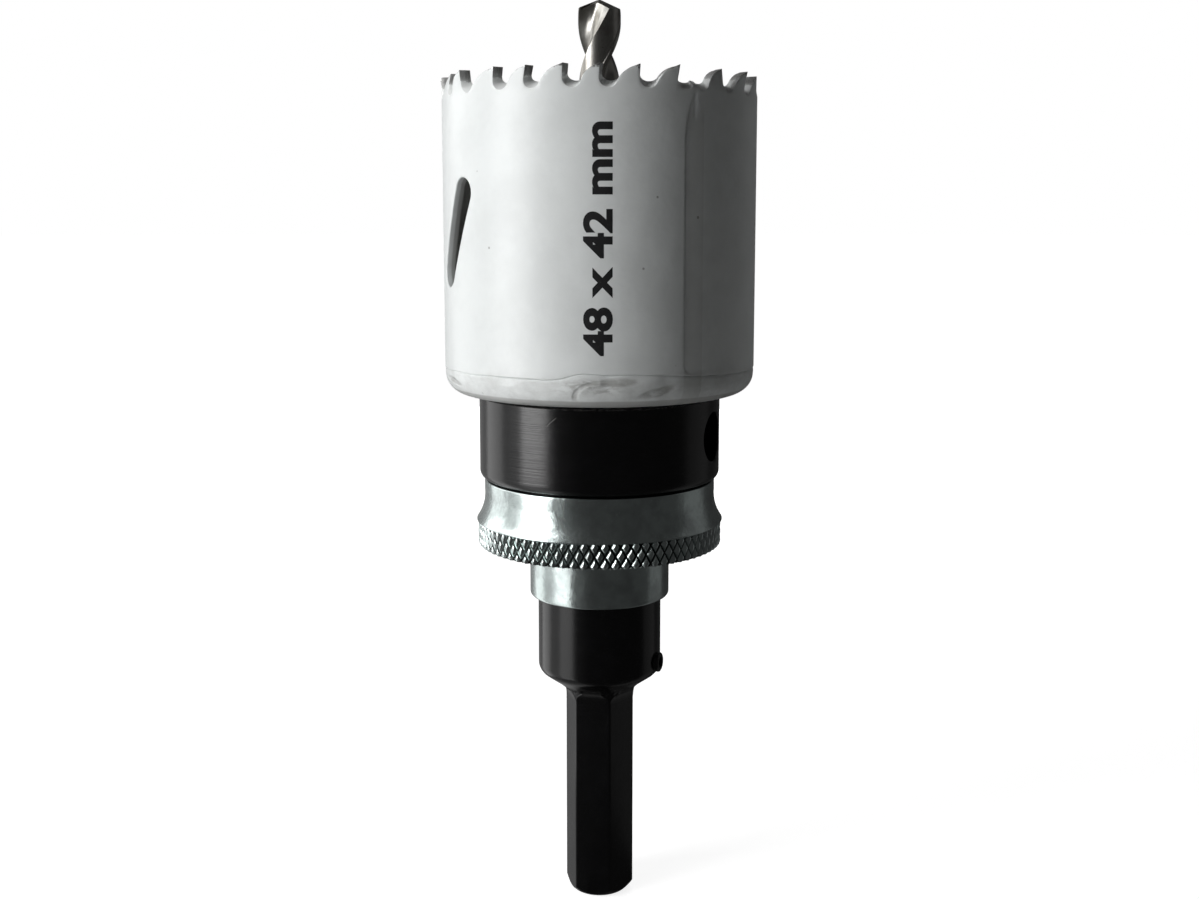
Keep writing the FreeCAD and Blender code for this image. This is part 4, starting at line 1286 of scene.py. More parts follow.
@dataclass
class PilotDrill:
    """Two-flute twist drill, lofted from its cross-section along the helix."""

    radius: float = 3.175
    low: float = 35.4
    high: float = 138.4
    point_angle: float = 135.0
    lead: float = 33.0
    lip_azimuth: float = -67.5
    lip_height: float = 137.1
    land: float = 80.5
    margin: float = 11.0
    relief: float = 0.12
    flute_corners: tuple = ((2.15, 0.55, 0.3), (0.62, 1.02, 0.9), (0.02, 1.9, 2.5))
    flute_start: float = 84.0
    flute_full: float = 93.0
    flute_places: int = 33
    spacing: float = 0.42
    flat: float = 2.825
    flat_azimuth: float = SCREW_AZIMUTH
    flat_high: float = 40.9
    tip_relief: float = 0.11

    def section(self) -> tuple[np.ndarray, np.ndarray]:
        """The cross-section of one half, from a cutting edge back over the land.

        Returns:
            Angles behind the cutting edge in degrees, and radii.
        """
        full, cleared = self.radius, self.radius - self.relief
        points = [(0.0, full), (0.7, full)]
        points += [(angle, full) for angle in np.linspace(2.0, self.margin - 1.0, 5)]
        points += [(self.margin, full - 0.01), (self.margin + 1.4, full - 0.08),
                   (self.margin + 3.0, cleared), (self.margin + 5.0, cleared)]
        points += [(angle, cleared)
                   for angle in np.linspace(self.margin + 9.0, self.land - 3.0, 11)]
        points += [(self.land - 1.2, cleared - 0.005), (self.land, cleared - 0.05)]
        heel = math.radians(self.land + 0.6)
        lip = math.pi - math.radians(0.25)
        inwards = np.array((math.cos(heel), math.sin(heel)))
        onwards = np.array((-math.sin(heel), math.cos(heel)))
        end = np.array((math.cos(lip), math.sin(lip))) * (full - 0.015)
        # A steep wall runs in from the heel and turns into the hollow floor under the next edge.
        path = [(*(inwards * (cleared - 0.1)), 0.0)]
        for out, across, fillet in self.flute_corners:
            path.append((*(inwards * out + onwards * across), fillet))
        path = rounded([*path, (*end, 0.0)], steps=8, hold=9.0)
        lengths = np.concatenate([[0.0], np.cumsum(np.linalg.norm(np.diff(path, axis=0), axis=1))])
        for place in np.linspace(0.0, lengths[-1], self.flute_places)[:-1]:
            spot = [float(np.interp(place, lengths, path[:, axis])) for axis in (0, 1)]
            points.append((math.degrees(math.atan2(spot[1], spot[0])) % 360.0, math.hypot(*spot)))
        table = np.array(points)
        return table[:, 0], table[:, 1]

    def build(self, steel: bpy.types.Material) -> None:
        """Loft the drill and close its point."""
        angle, radius = self.section()
        behind = np.concatenate([np.minimum(angle, self.land)] * 2)
        angle = np.concatenate([angle, angle + 180.0])
        radius = np.concatenate([radius, radius])

        def azimuths(height: np.ndarray | float) -> np.ndarray:
            """The azimuth of each point of the section at a height."""
            return self.lip_azimuth - angle + (height - self.lip_height) * 360.0 / self.lead

        even = azimuths(self.flute_start)
        seat = np.radians(np.minimum(np.abs(wrapped(even - self.flat_azimuth)), 80.0))
        flat = np.minimum(self.radius, self.flat / np.maximum(np.cos(seat), 0.2))
        rows = [(0.0, self.low, even), (self.radius * 0.85, self.low, even),
                (np.minimum(self.radius - 0.1, flat), self.low + 0.3, even),
                (flat, self.low + 0.45, even), (flat, self.flat_high, even),
                (self.radius, self.flat_high, even)]
        rows += [(self.radius, height, even) for height in np.linspace(50.0, self.flute_start, 4)]
        for height in np.arange(self.flute_start + 0.4, self.high - 3.0, self.spacing):
            share = (height - self.flute_start) / (self.flute_full - self.flute_start)
            deep = self.radius + (radius - self.radius) * smooth(min(share, 1.0))
            rows.append((deep, height, azimuths(height)))
        start, tip = rows[-1][1], self.tip_height(radius, behind)
        for share in (0.25, 0.5, 0.75, 1.0):
            height = start + (tip - start) * share
            rows.append((radius, height, azimuths(height)))
        for share in (0.97, 0.9, 0.8, 0.65, 0.5, 0.35, 0.2, 0.1, 0.0):
            rows.append((radius * share, self.tip_height(radius * share, behind), azimuths(tip)))
        draft = Draft("pilot_drill_ground")
        draft.loft(rows, even)
        draft.piece(Body.ARBOR, Slot.DRILL, [steel], 24.0, ["pilot_drill"])

    def tip_height(self, radius: np.ndarray, behind: np.ndarray) -> np.ndarray:
        """The height of the ground point at a radius and an angle behind the cutting edge."""
        fall = self.tip_relief * np.radians(behind) * radius
        return self.high - radius / math.tan(math.radians(self.point_angle / 2)) - fall


# Arbor


@dataclass
class Arbor:
    """Hexagonal shank, shoulder, barrel and threaded nose, turned and milled."""

    flats: float = 9.4
    shank_length: float = 33.3
    chamfer: float = 1.1
    hexagon_azimuth: float = -13.0
    corner_round: float = 0.3
    shoulder_edge: float = 36.2
    shoulder_round: float = 1.7
    runout_radius: float = 3.0
    runout_start: float = 31.4
    barrel: float = 9.55
    barrel_low: float = 37.6
    seat: float = SEAT
    groove: float = 8.95
    groove_low: float = 58.85
    groove_high: float = 60.05
    guide: float = 7.9
    guide_low: float = 65.6
    nose: float = 7.9375
    nose_top: float = 86.4
    nose_chamfer: float = 0.9
    relief: float = 7.3375
    relief_height: float = 1.2
    thread_pitch: float = 1.411
    thread_depth: float = 0.62
    bore: float = 3.235
    bore_low: float = 35.38

    def columns(self) -> np.ndarray:
        """Azimuths that fall on the shank's edges and on the ends of the guide flats."""
        tangent = (self.flats / 2 - self.corner_round) * math.tan(math.radians(30.0))
        edge = math.degrees(math.atan(tangent / (self.flats / 2)))
        sector = np.concatenate([np.linspace(-edge, edge, 25)[:-1],
                                 np.linspace(edge, 60.0 - edge, 7)[:-1]])
        shank = [self.hexagon_azimuth + 60.0 * side + sector for side in range(6)]
        half = math.degrees(math.acos(self.guide / self.barrel))
        ends = [GUIDE_AZIMUTH + turn for turn in (-half, half, 180.0 - half, 180.0 + half)]
        return np.unique(np.round(wrapped(np.concatenate([*shank, ends])), 4))

    def hexagon(self, azimuth: np.ndarray, apothem: np.ndarray) -> np.ndarray:
        """The radius of a hexagon with rounded corners."""
        off = np.radians(wrapped(azimuth - self.hexagon_azimuth, 60.0))
        side = apothem / np.cos(off)
        side_half = math.pi / 6
        centre = (apothem - self.corner_round) / math.cos(side_half)
        from_corner = side_half - np.abs(off)
        tangent = np.arctan((apothem - self.corner_round) * math.tan(side_half) / apothem)
        inside_root = np.maximum(self.corner_round ** 2 - (centre * np.sin(from_corner)) ** 2, 0.0)
        corner = centre * np.cos(from_corner) + np.sqrt(inside_root)
        return np.where(np.abs(off) > tangent, np.minimum(side, corner), side)

    def cone(self, height: np.ndarray) -> np.ndarray:
        """The radius of the turned blank at the shoulder."""
        corner = self.flats / 2 / math.cos(math.pi / 6)
        outline = rounded([(corner, self.shank_length, 0.0),
                           (self.barrel, self.shoulder_edge, self.shoulder_round),
                           (self.barrel, self.barrel_low + 2.0, 0.0)], steps=10)
        return np.interp(height, outline[:, 1], outline[:, 0])

    def milled(self, azimuth: np.ndarray, height: np.ndarray) -> np.ndarray:
        """The radius of the milled flats, with the run-out of the cutter."""
        past = np.clip(height - self.runout_start, 0.0, self.runout_radius)
        apothem = self.flats / 2 + self.runout_radius - np.sqrt(self.runout_radius ** 2 - past ** 2)
        return self.hexagon(azimuth, apothem)

    def meeting(self, azimuth: np.ndarray) -> np.ndarray:
        """The height at which the flats leave the shoulder, for each azimuth."""
        low = np.full_like(azimuth, self.runout_start)
        high = np.full_like(azimuth, self.runout_start + self.runout_radius)
        for _ in range(40):
            middle = (low + high) / 2
            below = self.milled(azimuth, middle) < self.cone(middle)
            low, high = np.where(below, middle, low), np.where(below, high, middle)
        return (low + high) / 2

    def build(self, black: bpy.types.Material) -> None:
        """Build the body in rows that follow its edges."""
        azimuth = self.columns()
        apothem = self.flats / 2
        shank = self.hexagon(azimuth, np.full_like(azimuth, apothem))
        end = apothem / math.cos(math.pi / 6) - self.chamfer
        rise = shank - end
        rows = [(0.0, 0.0), (end - 0.5, 0.0), (end - 0.12, 0.0), (end + 0.05, 0.05),
                (shank - rise * 0.35, rise * 0.65), (shank - 0.08, rise - 0.06),
                (shank, rise + 0.08), (shank, rise + 0.3)]
        rows += [(shank, height) for height in np.linspace(2.5, self.runout_start, 9)]
        meet = self.meeting(azimuth)
        for share in (0.2, 0.4, 0.6, 0.8, 0.95, 1.0):
            height = self.runout_start + (meet - self.runout_start) * share
            rows.append((self.milled(azimuth, height), height))
        for share in (0.04, 0.2, 0.38, 0.5, 0.6, 0.7, 0.8, 0.88, 0.95, 1.0):
            height = meet + (self.barrel_low - meet) * share
            rows.append((self.cone(height), height))
        rows += [(self.barrel, self.barrel_low + 0.3), (self.barrel, 48.0),
                 (self.barrel, self.groove_low), (self.groove, self.groove_low),
                 (self.groove, self.groove_high), (self.barrel, self.groove_high),
                 (self.barrel, self.guide_low)]
        off = np.radians(wrapped(azimuth - GUIDE_AZIMUTH, 180.0))
        guided = np.minimum(self.barrel, self.guide / np.maximum(np.cos(off), 0.5))
        rows += [(guided, height)
                 for height in (self.guide_low, self.guide_low + 0.3, 72.0, self.seat - 0.3)]
        start = self.seat + self.relief_height
        rows += [(guided - 0.15, self.seat), (self.relief, self.seat), (self.relief, start)]
        start, top = start + 0.3, self.nose_top - self.nose_chamfer
        turns = int((top - start) / self.thread_pitch)
        pitch = (top - start) / turns
        root = self.nose - self.thread_depth
        for base in (start + index * pitch for index in range(turns)):
            rows += [(root, base), (self.nose, base + 0.42 * pitch),
                     (self.nose, base + 0.58 * pitch), (root, base + 0.98 * pitch)]
        rows += [(self.nose - 0.1, top + 0.1), (self.nose - self.nose_chamfer, self.nose_top),
                 (self.bore + 0.35, self.nose_top), (self.bore, self.nose_top - 0.35),
                 (self.bore, self.bore_low), (0.0, self.bore_low)]
        draft = Draft("arbor_body_blackened")
        draft.loft(rows, azimuth)
        draft.piece(Body.ARBOR, Slot.BLACK, [black], 24.0, ["arbor_body"])


@dataclass
class SetScrew:
    """Socket set screw that holds the drill, standing a little proud of the barrel."""

    height: float = 37.9
    radius: float = 1.5
    tip: float = 2.845
    head: float = 10.15
    socket: float = 1.5
    socket_depth: float = 1.4

    def build(self, black: bpy.types.Material) -> None:
        """Turn the screw about its own axis, then lay it at its azimuth."""
        draft = Draft("pilot_set_screw_blackened")
        azimuth = around(72)
        hexagon = self.socket / 2 / np.cos(np.radians(wrapped(azimuth, 60.0)))
        floor = self.head - self.socket_depth
        draft.loft([(0.0, self.tip), (self.radius - 0.5, self.tip), (self.radius, self.tip + 0.5),
                    (self.radius, self.head - 0.22), (self.radius - 0.05, self.head - 0.1),
                    (self.radius - 0.22, self.head), (hexagon + 0.08, self.head),
                    (hexagon, self.head - 0.08), (hexagon, floor), (hexagon * 0.5, floor - 0.15),
                    (0.0, floor - 0.25)], azimuth)
        draft.moved(Matrix.Translation((0, 0, self.height))
                    @ Matrix.Rotation(math.radians(SCREW_AZIMUTH), 4, "Z")
                    @ Matrix.Rotation(math.pi / 2, 4, "X"))
        draft.piece(Body.ARBOR, Slot.BLACK, [black], 30.0, ["pilot_set_screw"])


# Drive plate


@dataclass
class DrivePlate:
    """Sliding plate with a double-D bore, a bar hole and the spring's room."""

    radius: float = 18.4
    low: float = 66.8
    high: float = 80.08
    top_chamfer: float = 0.7
    bottom_round: float = 1.2
    spigot: float = 15.85
    spigot_low: float = 63.2
    groove: float = 15.3
    groove_low: float = RING_LOW
    groove_high: float = RING_HIGH
    room: float = 11.6
    room_top: float = 74.2
    flat: float = 7.96
    round_side: float = 9.61
    hole: float = 3.7
    hole_azimuth: float = 68.8
    hole_height: float = 73.8
    hole_floor: float = 13.0
    hole_bevel: float = 0.28
    pin: float = 2.52
    pin_floor: float = 74.68
    columns: int = 288

    def bore_loop(self) -> np.ndarray:
        """The double-D outline of the bore, as (x, y) points."""
        half = math.degrees(math.acos(self.flat / self.round_side))
        pieces = []
        for side in (GUIDE_AZIMUTH, GUIDE_AZIMUTH + 180.0):
            across = np.linspace(-half, half, 13)[:-1]
            pieces.append(polar(self.flat / np.cos(np.radians(across)), side + across))
            rounds = np.linspace(half, 180.0 - half, 25)[:-1]
            pieces.append(polar(self.round_side, side + rounds))
        return np.concatenate(pieces)

    def side(self, draft: Draft, low: float, high: float) -> None:
        """The round side between two heights, with the bar hole in it."""
        full = math.tau * self.radius
        columns = np.linspace(-full / 2, full / 2, self.columns + 1)
        heights = np.linspace(low, high, 8)[1:-1]
        border = np.concatenate([
            np.stack([columns, np.full(len(columns), low)], 1),
            np.stack([np.full(len(heights), full / 2), heights], 1),
            np.stack([columns[::-1], np.full(len(columns), high)], 1),
            np.stack([np.full(len(heights), -full / 2), heights[::-1]], 1)])
        bevel, middle = self.hole_bevel, math.radians(self.hole_azimuth)

        def ring(radius: float, sunk: float = 0.0, out: float | None = None) -> np.ndarray:
            """A circle about the hole's axis, sunk below the side or at a distance out."""
            sideways, up = circle(radius, 72).T
            if out is None:
                out = np.sqrt(self.radius ** 2 - sideways ** 2) - sunk
            x = out * math.sin(middle) + sideways * math.cos(middle)
            y = -out * math.cos(middle) + sideways * math.sin(middle)
            return np.stack([x, y, self.hole_height + up], 1)

        sideways, up = circle(self.hole + bevel, 72).T
        mouth = np.stack([(middle + np.arcsin(sideways / self.radius)) * self.radius,
                          self.hole_height + up], 1)
        flat, triangles = filled([border, mouth], crossed(columns[1:-1], heights), 0.15)
        across = np.degrees(flat[:, 0] / self.radius)
        draft.add(np.column_stack([polar(self.radius, across), flat[:, 1]]), triangles)
        draft.walls([ring(self.hole + bevel), ring(self.hole + bevel * 0.45, bevel * 0.3),
                     ring(self.hole + bevel * 0.1, bevel * 0.75), ring(self.hole, bevel * 1.3),
                     ring(self.hole, out=self.hole_floor + 0.35),
                     ring(self.hole, out=self.hole_floor + 0.05),
                     ring(self.hole * 0.93, out=self.hole_floor),
                     ring(self.hole * 0.5, out=self.hole_floor - 0.02),
                     ring(0.0, out=self.hole_floor - 0.02)])

    def build(self, black: bpy.types.Material) -> None:
        """Build the plate from turned rows, the pierced side and the flat faces."""
        draft = Draft("drive_plate_blackened")
        azimuth = around(self.columns)
        side_low = self.low + self.bottom_round + 0.1
        side_high = self.high - self.top_chamfer - 0.2
        self.side(draft, side_low, side_high)
        shoulder = self.high - self.top_chamfer
        edge = self.radius - self.top_chamfer - 0.6
        top = rounded([(self.radius, side_high, 0), (self.radius, shoulder, 0.12),
                       (self.radius - self.top_chamfer, self.high, 0.12), (edge, self.high, 0)],
                      steps=3, hold=0.05)
        draft.loft(top, azimuth)
        holes = pin_places()
        bore = self.bore_loop()
        widened = bore * (1 + 0.25 / self.round_side)
        draft.level([polar(edge, azimuth), widened,
                     *(circle(self.pin + 0.2, 48, hole) for hole in holes)], self.high)
        for hole in holes:
            draft.walls([raised(circle(radius, 48, hole), height)
                         for radius, height in ((self.pin + 0.2, self.high),
                                                (self.pin, self.high - 0.2),
                                                (self.pin, self.pin_floor),
                                                (0.01, self.pin_floor))])
        draft.walls([raised(widened, self.high), raised(bore, self.high - 0.25),
                     raised(bore, self.room_top)])
        draft.level([polar(self.room, azimuth), bore], self.room_top)
        under = rounded([(self.room, self.room_top, 0), (self.room, self.spigot_low, 0.25),
                         (self.spigot, self.spigot_low, 0.3), (self.spigot, self.groove_low, 0.05),
                         (self.groove, self.groove_low, 0), (self.groove, self.groove_high, 0),
                         (self.spigot, self.groove_high, 0.05), (self.spigot, self.low, 0),
                         (self.radius - 0.1, self.low, 0)], steps=3)
        draft.loft(under[:-1], azimuth)
        corner = self.bottom_round
        arc = [(self.radius - corner + corner * sine, self.low + corner * fall)
               for sine, fall in quarter(8)]
        draft.loft([(self.spigot, self.low), (self.radius - corner - 0.2, self.low), *arc,
                    (self.radius, side_low)], azimuth)
        draft.piece(Body.COLLAR, Slot.BLACK, [black], 26.0, ["drive_plate"])


# Sleeve


@dataclass
class Sleeve:
    """Flared, knurled release sleeve with the hub that slides on the barrel."""

    hub: float = 10.8
    hub_bore: float = 9.61
    hub_low: float = 48.2
    low: float = 56.45
    grip: float = 18.75
    lip: float = 18.95
    lip_low: float = 60.1
    lip_high: float = 60.35
    flare: float = 7.0
    waist: float = 17.7
    waist_high: float = 64.9
    high: float = 66.6
    bore: float = 15.91
    floor_top: float = 58.6
    groove: float = 16.4
    groove_low: float = RING_LOW
    groove_high: float = RING_HIGH
    knurl_count: int = 76
    knurl_row: float = 1.34
    knurl_depth: float = 0.52
    knurl_low: float = 56.47
    knurl_high: float = 60.1
    knurl_chamfer: tuple = (0.3, 0.7)
    # Half widths of a lozenge's rings, as shares in both directions, and their heights.
    knurl_rings: tuple = ((0.5, 0.5, 0.0), (0.455, 0.43, 0.24), (0.39, 0.34, 0.52),
                          (0.31, 0.24, 0.76), (0.22, 0.14, 0.93), (0.13, 0.05, 1.0))
    skirt: float = 1.2

    def flare_points(self) -> list[tuple[float, float, float]]:
        """Points of the hollow curve from the lip up to the waist."""
        start = np.array((self.lip, self.lip_high))
        end = np.array((self.waist, self.waist_high))
        chord = end - start
        half = np.linalg.norm(chord) / 2
        away = np.array((chord[1], -chord[0])) / (2 * half)
        centre = (start + end) / 2 + away * math.sqrt(self.flare ** 2 - half ** 2)
        first, last = (math.atan2(*(spot - centre)[::-1]) % math.tau for spot in (start, end))
        return [(centre[0] + self.flare * math.cos(t), centre[1] + self.flare * math.sin(t), 0.0)
                for t in np.linspace(first, last, 12)[1:-1]]

    def shell(self, zinc: bpy.types.Material) -> None:
        """The turned sleeve, with a narrower band under the knurl."""
        band = self.grip - self.knurl_depth - 0.12
        outline = rounded([
            (self.hub_bore, self.hub_low, 0.15), (self.hub, self.hub_low, 0.4),
            (self.hub, self.low, 0.25), (band - 0.1, self.low, 0.1),
            (band, self.low + 0.2, 0.0), (band, self.knurl_high - 0.02, 0.0),
            (self.grip - 0.3, self.knurl_high, 0.04), (self.lip, self.lip_low + 0.1, 0.1),
            (self.lip, self.lip_high, 0.12),
            *self.flare_points(), (self.waist, self.waist_high, 0.0),
            (self.waist, self.high, 0.3), (self.bore, self.high, 0.2),
            (self.bore, self.groove_high, 0.0), (self.groove, self.groove_high, 0.0),
            (self.groove, self.groove_low, 0.0), (self.bore, self.groove_low, 0.0),
            (self.bore, self.floor_top, 0.4), (self.hub_bore, self.floor_top, 0.2)], True, 5)
        draft = Draft("release_sleeve_plated")
        draft.loft([*outline, outline[0]], around(300))
        draft.piece(Body.SLEEVE, Slot.ZINC, [zinc], 30.0, ["release_sleeve"])

    def tile(self) -> bpy.types.Object:
        """One pitch of the knurl: lozenges with sloping sides, cut to the band."""
        net = bmesh.new()
        half, rise = math.pi / self.knurl_count * self.grip, self.knurl_row
        first, second = np.array((half, rise)), np.array((-half, rise))
        middle_row = (self.knurl_low + self.knurl_high) / 2
        for column, row in itertools.product(range(-2, 3), range(-3, 4)):
            if (column + row) % 2:
                continue
            centre = np.array((column * half, middle_row + row * rise))
            loops = []
            for along, across, lift in self.knurl_rings:
                spots = [centre + first * along * a + second * across * b
                         for a, b in ((1, 1), (-1, 1), (-1, -1), (1, -1))]
                loops.append([net.verts.new((x, lift, z)) for x, z in spots])
            for lower, upper in zip(loops, loops[1:]):
                for i in range(4):
                    net.faces.new((lower[i], lower[(i + 1) % 4], upper[(i + 1) % 4], upper[i]))
            net.faces.new(loops[-1])
        bmesh.ops.remove_doubles(net, verts=net.verts, dist=1e-4)
        for place, way in (((half, 0, 0), (1, 0, 0)), ((-half, 0, 0), (-1, 0, 0)),
                           ((0, 0, self.knurl_high), (0, 0, 1)),
                           ((0, 0, self.knurl_low), (0, 0, -1))):
            bmesh.ops.bisect_plane(net, geom=[*net.verts, *net.edges, *net.faces], plane_co=place,
                                   plane_no=way, clear_outer=True, dist=1e-5)
        # Skirts run in from the top and bottom edges, and a back wall closes the tile.
        back_line = []
        for height in (self.knurl_low, self.knurl_high):
            edges = [e for e in net.edges if len(e.link_faces) == 1
                     and all(abs(v.co.z - height) < 1e-4 for v in e.verts)]
            grown = bmesh.ops.extrude_edge_only(net, edges=edges)["geom"]
            fresh = [v for v in grown if isinstance(v, bmesh.types.BMVert)]
            for vertex in fresh:
                vertex.co.y = -self.skirt
            back_line.append(sorted(fresh, key=lambda v: v.co.x))
        net.faces.new(back_line[0] + back_line[1][::-1])
        base = self.grip - self.knurl_depth
        high, slope = self.knurl_chamfer
        for vertex in net.verts:
            radius = base + self.knurl_depth * vertex.co.y
            # The grip narrows to its chamfer at the lower edge.
            if vertex.co.y > -1:
                radius -= max(0.0, self.knurl_low + high - vertex.co.z) * slope
            x, y = polar(radius, math.degrees(vertex.co.x / self.grip))
            vertex.co = Vector((x, y, vertex.co.z)) * METRE
        data = bpy.data.meshes.new("knurl_tile")
        net.to_mesh(data)
        net.free()
        return bpy.data.objects.new("knurl_tile", data)

    def knurl(self, zinc: bpy.types.Material) -> None:
        """Repeat the tile round the grip with Geometry Nodes."""
        tile = self.tile()
        tree = NodeTree("knurl_ring", {"Count": self.knurl_count, "Tile": tile, "Finish": zinc})
        places = tree.node("GeometryNodePoints", {}, {"Count": tree.input("Count")})
        index = tree.node("GeometryNodeInputIndex", {}, {})
        step = tree.node("ShaderNodeMath", {"operation": "DIVIDE"},
                         {0: math.tau, 1: tree.input("Count")})
        turn = tree.node("ShaderNodeMath", {"operation": "MULTIPLY"}, {0: index, 1: step})
        turn = tree.node("ShaderNodeCombineXYZ", {}, {"Z": turn})
        shape = tree.node("GeometryNodeObjectInfo", {"transform_space": "ORIGINAL"},
                          {"Object": tree.input("Tile")}, "Geometry")
        copies = tree.node("GeometryNodeInstanceOnPoints", {},
                           {"Points": places, "Instance": shape, "Rotation": turn})
        whole = tree.node("GeometryNodeRealizeInstances", {}, {"Geometry": copies})
        whole = tree.node("GeometryNodeMergeByDistance", {}, {"Geometry": whole, "Distance": 2e-6})
        whole = tree.node("GeometryNodeSetMaterial", {},
                          {"Geometry": whole, "Material": tree.input("Finish")})
        data = tree.run(whole)
        bpy.data.objects.remove(tile)
        dressed("sleeve_knurl", data, Body.SLEEVE, [zinc], 42.0)


@dataclass
class Spring:
    """Compression spring between the washer and the roof of its room."""

    wire: float = 1.1
    centre: float = 10.7
    low: float = 61.04
    high: float = 74.18
    turns: float = 4.5
    keep: float = 0.467

    def build(self, steel: bpy.types.Material) -> None:
        """Wind the spring with Geometry Nodes."""
        tree = NodeTree("spring_coil", {
            "Wire Radius": self.wire / 2 * METRE, "Coil Radius": self.centre * METRE,
            "Height": (self.high - self.low - self.wire) * METRE, "Turns": self.turns,
            "Base": (self.low + self.wire / 2) * METRE, "Finish": steel})
        line = tree.node("GeometryNodeCurveSpiral", {}, {
            "Resolution": 48, "Rotations": tree.input("Turns"), "Height": tree.input("Height"),
            "Start Radius": tree.input("Coil Radius"), "End Radius": tree.input("Coil Radius")})
        rim = tree.node("GeometryNodeCurvePrimitiveCircle", {"mode": "RADIUS"},
                        {"Resolution": 14, "Radius": tree.input("Wire Radius")})
        coil = tree.node("GeometryNodeCurveToMesh", {},
                         {"Curve": line, "Profile Curve": rim, "Fill Caps": True})
        lift = tree.node("ShaderNodeCombineXYZ", {}, {"Z": tree.input("Base")})
        coil = tree.node("GeometryNodeTransform", {}, {"Geometry": coil, "Translation": lift})
        coil = tree.node("GeometryNodeRealizeInstances", {}, {"Geometry": coil})
        coil = tree.node("GeometryNodeSetMaterial", {},
                         {"Geometry": coil, "Material": tree.input("Finish")})
        piece = dressed("sleeve_spring_wound", tree.run(coil), Body.ARBOR, [steel], 40.0,
                        ["sleeve_spring"])
        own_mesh(piece)


# Studio


